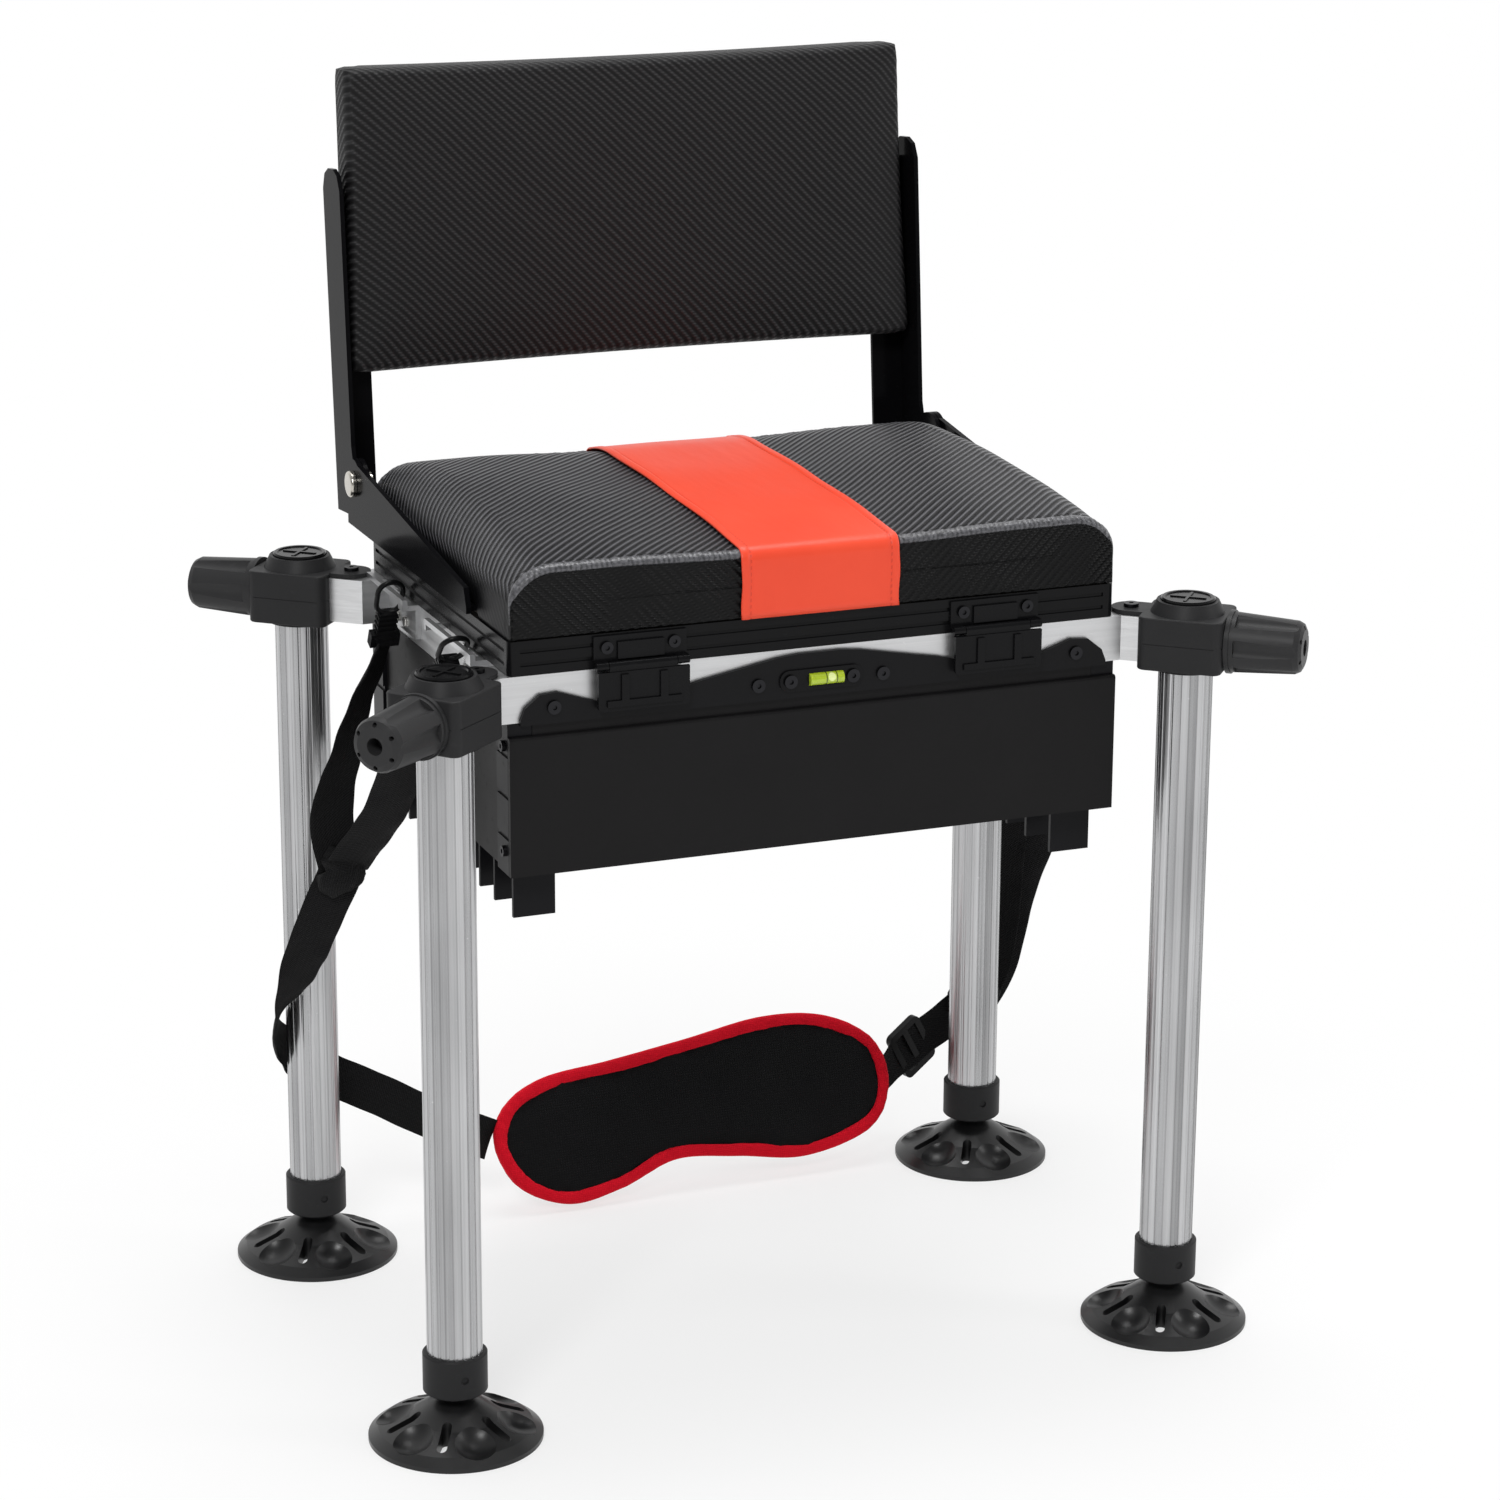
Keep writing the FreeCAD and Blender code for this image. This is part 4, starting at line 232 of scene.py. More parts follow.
def gloss_paint(name, color, rough):
    """Glossy lacquer with orange peel, hairlines and a little dust."""
    p = Paint(name)
    peel = p.noise(240.0, 2.0)
    dust = p.ramp(p.noise(1300.0, 1.0), 0.72, 0.80)
    smear = p.noise(16.0, 4.0, 0.6)
    hair = p.ramp(p.noise(1.0, 2.0, 0.6, p.scaled(40, 40, 900)), 0.66, 0.72)
    tint = p.mix(p.mul(dust, 0.10), color, (0.20, 0.20, 0.21))
    roughness = p.add(p.mul(smear, 0.12), p.add(rough, p.mul(hair, 0.06)))
    return p.set(tint, roughness, p.bump(peel, 0.00005, 0.5), Specular_IOR_Level=0.02)


def bright_metal(name, color, rough):
    """Plated metal: light scratches and cloudy patches."""
    p = Paint(name)
    cloud = p.noise(160.0, 3.0)
    scratch = p.noise(1.0, 2.0, 0.5, p.scaled(300, 1500, 1500))
    dark = tuple(c * 0.7 for c in color)
    roughness = p.add(rough, p.mul(cloud, 0.18))
    return p.set(p.mix(cloud, dark, color), roughness, p.bump(scratch, 0.00005, 0.4), Metallic=1.0)


def rubber(name):
    """Moulded rubber with a slight bloom and a shine on its worn parts."""
    p = Paint(name)
    bloom = p.noise(30.0, 4.0, 0.6)
    grain = p.noise(700.0, 2.0)
    color = p.mix(bloom, (0.004, 0.004, 0.0045), (0.014, 0.014, 0.0145))
    roughness = p.add(0.20, p.mul(bloom, 0.28))
    return p.set(color, roughness, p.bump(grain, 0.00008, 0.5), Specular_IOR_Level=0.4)


def ribs(p, value, pitch):
    """A row of round ribs across value, from 0 in the grooves to 1 on the crests."""
    wave = p.math("SINE", p.mul(value, 2 * math.pi / pitch))
    return p.add(p.mul(wave, 0.5), 0.5)


SEAM_Y = 0.1362


def seat_vinyl():
    """The seat's vinyl: slanted ribs over the top, checked twill on the end panels."""
    p = Paint("seat_vinyl_ribbed")
    x, y, z = p.split()
    warp = p.swing(p.noise(7.0, 2.0), 0.003)
    away = p.abs(x)
    # The ribs run on down the sides, and soon flatten out there
    down = p.math("MAXIMUM", p.sub(0.556, z), 0.0)
    wrapped = p.add(x, p.mul(p.math("SIGN", x), down))
    top_rib = ribs(p, p.add(p.sub(wrapped, y), warp), 0.0067)
    top_tick = ribs(p, p.add(wrapped, y), 0.0031)
    top_relief = p.add(p.mul(top_rib, 0.92), p.mul(top_tick, 0.08))
    top_relief = p.mul(top_relief, p.ramp(down, 0.002, 0.012, 1.0, 0.07))
    # The end panels' twill climbs to the middle from both sides, stronger in patches
    end_rib = ribs(p, p.add(p.sub(z, away), warp), 0.0065)
    end_tick = ribs(p, p.add(p.mul(away, 0.24), p.mul(z, 0.97)), 0.0022)
    patch = p.ramp(p.noise(26.0, 2.0), 0.38, 0.62, 0.35, 1.0)
    end_relief = p.mul(p.mul(end_rib, patch), p.add(0.50, p.mul(end_tick, 0.50)))
    end = p.ramp(p.abs(y), 0.1428, 0.1434)
    relief = p.add(p.mul(end_relief, end), p.mul(top_relief, p.sub(1.0, end)))
    # Stitches along the seam beside each welt
    hem = p.abs(p.sub(p.abs(y), SEAM_Y))
    seam = p.mul(p.ramp(hem, 0.0004, 0.0008, 1.0, 0.0), p.ramp(ribs(p, x, 0.0040), 0.25, 0.45))
    cloud = p.noise(12.0, 3.0)
    base = p.mix(cloud, (0.0028, 0.0028, 0.0034), (0.0046, 0.0046, 0.0054))
    base = p.mix(end, base, (0.0012, 0.0012, 0.0014))
    # Painted highlight and shade: the ribs' crests are painted far lighter than their grooves, on the top
    # and on the end panels
    crest_highlight = p.mix(end, (0.120, 0.120, 0.130), (0.016, 0.016, 0.0165))
    color = p.mix(p.math("POWER", relief, 2.2), base, crest_highlight)
    color = p.mix(p.mul(seam, 0.8), color, (0.002, 0.002, 0.002))
    roughness = p.sub(0.50, p.mul(relief, 0.16))
    grain = p.noise(1500.0, 2.0)
    normal = p.bump(relief, 0.0018, 0.9, p.bump(seam, -0.0008, 1.0, p.bump(grain, 0.00008, 0.5)))
    return p.set(color, roughness, normal, Specular_IOR_Level=0.18)


def welt_vinyl():
    """The sewn edge: drawn tight and puckered, glossier on its raised puckers, which are painted light as
    small patches of highlight.
    """
    p = Paint("welt_vinyl")
    pucker = p.noise(1.0, 3.0, 0.6, p.scaled(420, 300, 420))
    gather = ribs(p, p.split()[0], 0.0034)
    height = p.add(p.mul(pucker, 0.85), p.mul(gather, 0.15))
    # Painted highlight: the raised puckers are painted lighter, as small patches of shine
    color = p.mix(p.ramp(height, 0.3, 0.7), (0.018, 0.018, 0.021), (0.125, 0.125, 0.136))
    return p.set(color, p.ramp(height, 0.3, 0.7, 0.46, 0.24), p.bump(height, 0.0008, 0.8),
                 Specular_IOR_Level=0.6)


def back_vinyl():
    """The backrest's vinyl: slanted ribs with fine cross ticks."""
    p = Paint("backrest_vinyl_ribbed")
    x, y, z = p.split()
    warp = p.swing(p.noise(8.0, 2.0), 0.005)
    slant = p.add(p.add(p.add(x, z), y), warp)
    cross = p.sub(p.mul(x, 0.24), p.mul(z, 0.97))
    rib = p.math("POWER", ribs(p, slant, 0.0063), 1.8)
    tick = ribs(p, cross, 0.0022)
    relief = p.mul(rib, p.add(0.50, p.mul(tick, 0.50)))
    cloud = p.noise(10.0, 3.0)
    base = p.mix(cloud, (0.0034, 0.0032, 0.0036), (0.0052, 0.0050, 0.0055))
    # Painted highlight and shade: the ribs' crests are painted far lighter than their grooves
    color = p.mix(relief, base, (0.036, 0.0355, 0.037))
    roughness = p.sub(0.56, p.mul(relief, 0.12))
    grain = p.noise(1500.0, 2.0)
    normal = p.bump(relief, 0.0009, 0.7, p.bump(grain, 0.00008, 0.5))
    return p.set(color, roughness, normal, Specular_IOR_Level=0.20)


def stripe_vinyl():
    """Smooth orange vinyl with a hem line, stitches and soft creases."""
    p = Paint("stripe_vinyl_orange")
    x, y, z = p.split()
    away = p.abs(x)
    cloud = p.noise(18.0, 4.0, 0.6)
    hem = p.mul(p.ramp(away, 0.0474, 0.0478), p.ramp(away, 0.0482, 0.0486, 1.0, 0.0))
    dash = p.ramp(ribs(p, p.add(y, z), 0.0042), 0.35, 0.5)
    stitch = p.mul(hem, dash)
    base = p.mix(cloud, (0.80, 0.060, 0.024), (0.88, 0.082, 0.033))
    color = p.mix(p.mul(stitch, 0.5), base, (0.56, 0.034, 0.016))
    roughness = p.add(0.34, p.mul(cloud, 0.12))
    crease = p.noise(1.0, 3.0, 0.55, p.scaled(34, 9, 20))
    grain = p.noise(1100.0, 2.0)
    normal = p.bump(crease, 0.003, 0.35, p.bump(stitch, -0.00015, 0.5, p.bump(grain, 0.00007, 0.5)))
    return p.set(color, roughness, normal, Specular_IOR_Level=0.32)


def webbing_cloth(name):
    """Woven webbing: a fine slanted weave along its own length."""
    p = Paint(name)
    u, v, _ = p.split(p.node("ShaderNodeTexCoord").outputs["UV"])
    one, two = ribs(p, p.add(u, v), 0.0022), ribs(p, p.sub(u, v), 0.0022)
    cord = ribs(p, v, 0.0034)
    weave = p.mul(p.math("MAXIMUM", one, p.mul(two, 0.6)), p.add(0.7, p.mul(cord, 0.3)))
    fuzz = p.noise(900.0, 3.0, 0.7)
    share = p.mul(weave, p.add(0.35, p.mul(fuzz, 0.5)))
    tint = p.mix(share, (0.0018, 0.0018, 0.0020), (0.0150, 0.0150, 0.0155))
    normal = p.bump(weave, 0.0006, 0.8, p.bump(fuzz, 0.0002, 0.5))
    return p.set(tint, 0.78, normal, Sheen_Weight=0.015, Specular_IOR_Level=0.15)


def felt(name, color, light, weave):
    """Woven cloth: a plain weave with fuzz."""
    p = Paint(name)
    x, _, z = p.split()
    cloth = p.mul(ribs(p, x, weave), ribs(p, z, weave))
    fuzz = p.noise(700.0, 4.0, 0.7)
    cloud = p.noise(26.0, 3.0)
    share = p.mul(p.add(p.mul(cloth, 0.5), p.mul(fuzz, 0.5)), p.add(0.5, cloud))
    normal = p.bump(cloth, 0.0004, 0.6, p.bump(fuzz, 0.0003, 0.5))
    return p.set(p.mix(share, color, light), 0.85, normal, Sheen_Weight=0.015, Specular_IOR_Level=0.12)


VIAL_X, VIAL_Z = 0.006, 0.4812


def vial_fluid():
    """The level's tinted fluid, with its round bubble and two lines."""
    p = Paint("vial_fluid")
    x, _, z = p.split()
    off = p.sub(x, VIAL_X)
    lines = p.mul(p.ramp(p.abs(off), 0.0030, 0.0033), p.ramp(p.abs(off), 0.0038, 0.0041, 1.0, 0.0))
    far = p.math("SQRT", p.add(p.math("POWER", off, 2.0), p.math("POWER", p.sub(z, VIAL_Z), 2.0)))
    bubble = p.ramp(far, 0.0022, 0.0030, 1.0, 0.0)
    cloud = p.noise(300.0, 2.0)
    color = p.mix(cloud, (0.30, 0.42, 0.012), (0.46, 0.58, 0.03))
    color = p.mix(bubble, color, (0.74, 0.84, 0.35))
    color = p.mix(p.mul(lines, 0.85), color, (0.02, 0.03, 0.0))
    # Painted light: the fluid glows faintly, though it is no lamp
    return p.set(color, 0.10, p.bump(cloud, 0.00005, 0.2), Emission_Color=color, Emission_Strength=0.08,
                 Coat_Weight=0.5)


def stained_ply():
    """Dark stained ply with its grain along X."""
    p = Paint("stained_ply")
    grain = p.noise(1.0, 5.0, 0.6, p.scaled(8, 120, 120))
    color = p.mix(grain, (0.030, 0.022, 0.017), (0.085, 0.062, 0.046))
    return p.set(color, 0.6, p.bump(grain, 0.0002, 0.5))


LOOKS = {
    "rail": aluminium("rail_aluminium", (3, 260, 260), 0.66, 0.36, 0.16),
    "side_rail": aluminium("side_rail_aluminium", (260, 3, 260), 0.60, 0.34, 0.16),
    "arm": aluminium("arm_aluminium", (30, 30, 380), 0.68, 0.34, 0.20),
    "leg": leg_aluminium(),
    "lug": aluminium("lug_aluminium", (260, 4, 260), 0.64, 0.30, 0.10),
    "case": plastic("case_satin", (0.0105, 0.0101, 0.0106), 0.42, 1400.0, 0.00003, 0.05),
    "post": plastic("post_satin", (0.0075, 0.0075, 0.0090), 0.34, 900.0, 0.00004, 0.12),
    "block": plastic("block_moulded", (0.028, 0.028, 0.029), 0.46, 1100.0, 0.00010, 0.18),
    "knob": plastic("knob_moulded", (0.037, 0.037, 0.038), 0.38, 900.0, 0.00006, 0.24),
    "cap": plastic("cap_gloss", (0.006, 0.006, 0.0065), 0.16, 500.0, 0.00002, 0.10),
    "fascia": plastic("fascia_coat", (0.0075, 0.0074, 0.0082), 0.32, 1600.0, 0.00004, 0.08),
    "latch": plastic("latch_coat", (0.0065, 0.0065, 0.0072), 0.24, 1300.0, 0.00004, 0.14),
    "lid": plastic("lid_coat", (0.0060, 0.0060, 0.0066), 0.24, 1200.0, 0.00003, 0.10),
    "hook": plastic("hook_moulded", (0.0065, 0.0065, 0.0070), 0.28, 900.0, 0.00004, 0.15),
    "gloss": gloss_paint("bracket_gloss", (0.0040, 0.0040, 0.0046), 0.10),
    "nickel": bright_metal("nickel_plate", (0.66, 0.63, 0.57), 0.16),
    "screw": bright_metal("black_screw", (0.035, 0.035, 0.038), 0.28),
    "rivet": bright_metal("rivet_steel", (0.62, 0.61, 0.58), 0.24),
    "steel": bright_metal("hinge_steel", (0.55, 0.55, 0.56), 0.26),
    "foot": rubber("foot_rubber"),
    "seat": seat_vinyl(),
    "back": back_vinyl(),
    "welt": welt_vinyl(),
    "stripe": stripe_vinyl(),
    "webbing": webbing_cloth("webbing_weave"),
    "pad_face": felt("pad_face_cloth", (0.0026, 0.0026, 0.0030), (0.0120, 0.0120, 0.0125), 0.0018),
    "binding": felt("binding_cloth", (0.60, 0.002, 0.014), (0.86, 0.010, 0.028), 0.0014),
    "vial": vial_fluid(),
    "ply": stained_ply(),
}

NODE_LOOKS = {
    "front_rail": "rail", "rear_rail": "rail", "side_rails": "side_rail", "corner_arms": "arm",
    "case_front": "case", "case_walls": "case", "case_base": "case", "case_posts": "post",
    "case_feet": "post", "frame_screws": "screw", "front_fascia": "fascia", "fascia_screws": "screw",
    "level_housing": "latch", "level_vial": "vial", "latch_keepers": "latch", "hinge_leaves": "steel",
    "strap_lugs": "lug",
    "lug_rivets": "rivet", "snap_hooks": "hook", "slider_buckle": "hook", "lid_frame": "lid",
    "lid_corners": "lid", "lid_board": "ply", "latch_plates": "latch", "latch_screws": "screw",
    "backrest_brackets": "gloss", "latch_lever_left": "latch", "latch_lever_right": "latch",
    "backrest_uprights": "gloss", "pivot_bolts": "nickel",
}
CORNER_LOOKS = {"leg_block": "block", "clamp_knob": "knob", "leg_tube": "leg", "leg_cap": "cap",
                "foot_collar": "block", "mud_foot": "foot"}
for corner in ("fl", "fr", "rl", "rr"):
    for kind, look in CORNER_LOOKS.items():
        NODE_LOOKS[f"{kind}_{corner}"] = look
for name, look in NODE_LOOKS.items():
    for place in NODES[name].material_slots:
        place.material = LOOKS[look]

# --- mesh helpers


def new_object(name, points, faces, look, body):
    """A smooth mesh piece with its look. Without a body, its maker places it and rides it."""
    mesh = bpy.data.meshes.new(name)
    mesh.from_pydata([tuple(p) for p in points], [], faces)
    mesh.validate()
    mesh.update()
    mesh.polygons.foreach_set("use_smooth", [True] * len(mesh.polygons))
    obj = bpy.data.objects.new(name, mesh)
    obj.data.materials.append(LOOKS[look])
    obj.location = SHIFT
    bpy.context.scene.collection.objects.link(obj)
    if body:
        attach(obj, body)
    return obj


def skin(rings, cap_ends=True):
    """Points and faces of a tube through closed rings of equal counts."""
    count = len(rings[0])
    points = [p for ring in rings for p in ring]
    faces = []
    for r in range(len(rings) - 1):
        for n in range(count):
            m = (n + 1) % count
            faces.append((r * count + n, r * count + m, (r + 1) * count + m, (r + 1) * count + n))
    if cap_ends:
        faces.append(tuple(reversed(range(count))))
        faces.append(tuple(range((len(rings) - 1) * count, len(rings) * count)))
    return points, faces


def smooth_line(points):
    """Points along the smooth spline of the given control points."""
    curve = bpy.data.curves.new("line", "CURVE")
    curve.dimensions = "3D"
    spline = curve.splines.new("NURBS")
    spline.points.add(len(points) - 1)
    for at, p in zip(spline.points, points):
        at.co = (*p, 1)
    spline.order_u = 3
    spline.use_endpoint_u = True
    spline.resolution_u = 12
    obj = bpy.data.objects.new("line", curve)
    bpy.context.scene.collection.objects.link(obj)
    bpy.context.view_layer.update()
    mesh = bpy.data.meshes.new_from_object(obj)
    line = [v.co.copy() for v in mesh.vertices]
    bpy.data.objects.remove(obj)
    bpy.data.curves.remove(curve)
    bpy.data.meshes.remove(mesh)
    return line


BAND_WIDTH, BAND_THICK = 0.030, 0.0018
# Places across a band from edge to edge, and the count round both faces
ACROSS = [math.cos(math.pi * k / 10) for k in range(11)]
BAND_COUNT = 2 * len(ACROSS)


def band_rings(line, sides, cup):
    """Rings of a flat cupped band along a line, with its side directions at even steps."""
    rings, run = [], 0.0
    last = len(line) - 1
    for n, at in enumerate(line):
        if n:
            run += (at - line[n - 1]).length
        along = (line[min(n + 1, last)] - line[max(n - 1, 0)]).normalized()
        share = n / last * (len(sides) - 1)
        low = min(int(share), len(sides) - 2)
        side = Vector(sides[low]).lerp(Vector(sides[low + 1]), share - low)
        side = (side - along * side.dot(along)).normalized()
        face = along.cross(side)
        ring = []
        for half in (1, -1):
            for k in ACROSS if half > 0 else reversed(ACROSS):
                lip = math.sqrt(max(0.0, 1 - abs(k) ** 8))
                ripple = 0.0006 * math.sin(run * 210 + k * 3) + 0.0005 * math.sin(run * 95)
                rise = half * BAND_THICK / 2 * (0.35 + 0.65 * lip) + cup * (k * k - 0.4) + ripple * abs(k)
                ring.append(at + side * (k * BAND_WIDTH / 2) + face * rise)
        rings.append(ring)
    return rings


def lay_uv(obj, count, places, lengths, width):
    """The weave's UV map: lengths along a band and places across it."""
    layer = obj.data.uv_layers.new(name="along")
    for face in obj.data.polygons:
        for loop in face.loop_indices:
            vertex = obj.data.loops[loop].vertex_index
            k = vertex % count
            place = places[k if k < len(places) else count - 1 - k]
            layer.data[loop].uv = (lengths[vertex // count], place * width / 2)


def band(name, line, sides, cup):
    """A stretch of the webbing along a line."""
    points, faces = skin(band_rings(line, sides, cup))
    obj = new_object(name, points, faces, "webbing", "chassis")
    lengths = [0.0]
    for a, b in zip(line, line[1:]):
        lengths.append(lengths[-1] + (b - a).length)
    lay_uv(obj, BAND_COUNT, ACROSS, lengths, BAND_WIDTH)
    return obj


# --- the strap

# Where the webbing leaves its hooks, as Y and Z, and its routes: a place and a side direction each
REAR_EYE, FRONT_EYE = (0.0836, 0.4644), (-0.0416, 0.4720)
LEFT_REAR = [((-0.2205, *REAR_EYE), (0.6, 0.8, 0)), ((-0.233, 0.088, 0.436), (0.8, 0.6, 0)),
             ((-0.250, 0.089, 0.384), (0.9, 0.3, 0)), ((-0.260, 0.088, 0.345), (1, -0.2, 0)),
             ((-0.253, 0.086, 0.312), (1, -0.4, 0.1))]
LEFT_FRONT = [((-0.2205, *FRONT_EYE), (0.6, -0.8, 0)), ((-0.226, -0.010, 0.436), (0.9, -0.5, 0.3)),
              ((-0.229, 0.020, 0.392), (0.9, -0.5, 0.3)), ((-0.234, 0.046, 0.352), (1, -0.4, 0.2)),
              ((-0.249, 0.081, 0.312), (1, -0.4, 0.2))]
LEFT_STRAP = [((-0.252, 0.086, 0.307), (1, -0.4, 0.2)), ((-0.264, 0.093, 0.278), (1, -0.4, 0.2)),
              ((-0.272, 0.108, 0.246), (1, -0.3, 0.3)), ((-0.279, 0.124, 0.213), (0.9, 0.1, 0.5)),
              ((-0.284, 0.143, 0.184), (0.5, 0.2, 0.9)), ((-0.281, 0.166, 0.161), (0.1, 0.3, 1)),
              ((-0.266, 0.186, 0.143), (-0.1, 0.1, 1)), ((-0.243, 0.194, 0.124), (0, 0, 1)),
              ((-0.218, 0.195, 0.110), (0, 0, 1)), ((-0.190, 0.194, 0.094), (0, 0, 1)),
              ((-0.158, 0.193, 0.074), (0.1, 0, 1)), ((-0.116, 0.187, 0.054), (0.1, 0.3, 1))]
RIGHT_REAR = [((0.2205, *REAR_EYE), (0.6, 0.8, 0)), ((0.239, 0.099, 0.428), (0, 1, 0.3)),
              ((0.276, 0.106, 0.388), (0.5, 0.6, 0.4)), ((0.314, 0.130, 0.352), (0.6, -0.4, 0.6)),
              ((0.325, 0.176, 0.306), (0.2, -0.8, 0.6)), ((0.312, 0.210, 0.256), (0.9, -0.3, 0)),
              ((0.306, 0.217, 0.228), (1, -0.3, 0)), ((0.304, 0.217, 0.196), (1, -0.3, 0)),
              ((0.301, 0.215, 0.160), (0.8, -0.5, 0)), ((0.294, 0.212, 0.129), (0.8, -0.4, 0)),
              ((0.281, 0.210, 0.107), (0.8, -0.4, -0.3))]
RIGHT_FRONT = [((0.2205, *FRONT_EYE), (0.6, 0.8, 0)), ((0.240, -0.001, 0.437), (0, 1, 0.5)),
               ((0.275, 0.045, 0.400), (0.5, 0.7, 0.3)), ((0.318, 0.094, 0.362), (0.6, -0.4, 0.6)),
               ((0.345, 0.152, 0.314), (0.3, -0.8, 0.6)), ((0.347, 0.204, 0.262), (0.9, -0.3, 0)),
               ((0.335, 0.226, 0.219), (1, -0.3, 0)), ((0.322, 0.232, 0.177), (1, -0.3, 0)),
               ((0.314, 0.231, 0.145), (0.9, -0.4, 0)), ((0.303, 0.223, 0.118), (0.8, -0.4, -0.2)),
               ((0.284, 0.212, 0.104), (0.8, -0.4, -0.3))]
RIGHT_STRAP = [((0.278, 0.211, 0.104), (0.8, -0.4, -0.3)), ((0.263, 0.216, 0.091), (0.5, 0, -0.9)),
               ((0.246, 0.219, 0.079), (0.4, 0, -1)), ((0.230, 0.217, 0.069), (0.4, 0, -1)),
               ((0.212, 0.210, 0.061), (0.3, 0, -1)), ((0.195, 0.199, 0.055), (0.2, 0.2, -1))]


# A knot's turns: tilt, half width, half depth, the band's width and its shift along the knot
KNOT_TURNS = ((0.85, 0.0165, 0.0115, 0.019, 0.003), (-0.80, 0.0155, 0.0100, 0.018, -0.002),
              (0.15, 0.0135, 0.0080, 0.014, -0.011))
KNOT_STEPS = 40
KNOT_STEP_LENGTH = 0.0021
KNOT_ACROSS = [math.cos(math.pi * j / 8) for j in range(9)]


def knot(name, at, along, side):
    """A knot in the webbing: turns of the band wound round each other."""
    along, side = Vector(along).normalized(), Vector(side).normalized()
    side = (side - along * side.dot(along)).normalized()
    face = along.cross(side)
    made = []
    for n, (tilt, wide, deep, band_wide, shift) in enumerate(KNOT_TURNS):
        axis = (along * math.cos(tilt) + side * math.sin(tilt)).normalized()
        flat = axis.cross(face).normalized()
        rings = []
        for k in range(KNOT_STEPS + 1):
            a = 2 * math.pi * k / KNOT_STEPS
            centre = Vector(at) + along * shift + flat * (wide * math.cos(a)) + face * (deep * math.sin(a))
            out = (flat * math.cos(a) * deep + face * math.sin(a) * wide).normalized()
            ring = []
            for half in (1, -1):
                for across in KNOT_ACROSS if half > 0 else reversed(KNOT_ACROSS):
                    curl = -0.0034 * across * across + 0.0007 * math.sin(6 * a + 5 * across)
                    ring.append(centre + axis * (across * band_wide / 2) + out * (half * 0.0011 + curl))
            rings.append(ring)
        points, faces = skin(rings, cap_ends=False)
        obj = new_object(f"{name}_turn_{n + 1}", points, faces, "webbing", "chassis")
        lengths = [k * KNOT_STEP_LENGTH for k in range(KNOT_STEPS + 1)]
        lay_uv(obj, 2 * len(KNOT_ACROSS), KNOT_ACROSS, lengths, band_wide)
        made.append(obj)
    return made


def strap_cord(name, route, cup):
    """A stretch of the strap along its route."""
    line = smooth_line([at for at, _ in route])
    obj = band(name, line, [side for _, side in route], cup)
    return obj


left_knot = knot("left_knot", (-0.252, 0.086, 0.307), (-0.2, 0.1, -0.9), (0.93, -0.37, 0))
right_knot = knot("right_knot", (0.278, 0.211, 0.104), (-0.5, 0.1, -0.5), (0.8, -0.4, -0.3))
left = strap_cord("left_strap", LEFT_REAR + LEFT_STRAP, 0.003)
strap_cord("left_front_loop", LEFT_FRONT, -0.003)
right = strap_cord("right_strap", RIGHT_REAR + RIGHT_STRAP, 0.002)
right_front = strap_cord("right_front_loop", RIGHT_FRONT, -0.002)
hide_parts("strap_left")
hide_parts("strap_right")
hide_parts("strap_loops")

# --- the shoulder pad

# The pad's outline in its own X and Z, in millimetres
SHOULDER = [(-155, -10), (-143, 16), (-112, 32), (-60, 38), (0, 46), (62, 55), (112, 50), (148, 28),
            (157, -6), (138, -38), (84, -52), (30, -45), (-18, -41), (-62, -56), (-104, -62), (-141, -44)]
SHOULDER_COUNT = 220
SHOULDER_LEAN = math.radians(21)
SHOULDER_LOW, SHOULDER_DEEP, SHOULDER_CLEAR = 0.062, 0.009, 0.002


def shoulder_outline():
    """The pad's closed outline, smooth through its corners."""
    n = len(SHOULDER)
    points = []
    for k in range(SHOULDER_COUNT):
        t = k / SHOULDER_COUNT * n
        i, f = int(t), t - int(t)
        a, b, c, d = (Vector(SHOULDER[(i + j - 1) % n]) / 1000 for j in range(4))
        points.append(0.5 * ((2 * b) + (c - a) * f + (2 * a - 5 * b + 4 * c - d) * f * f
                             + (3 * b - a - 3 * c + d) * f ** 3))
    return points


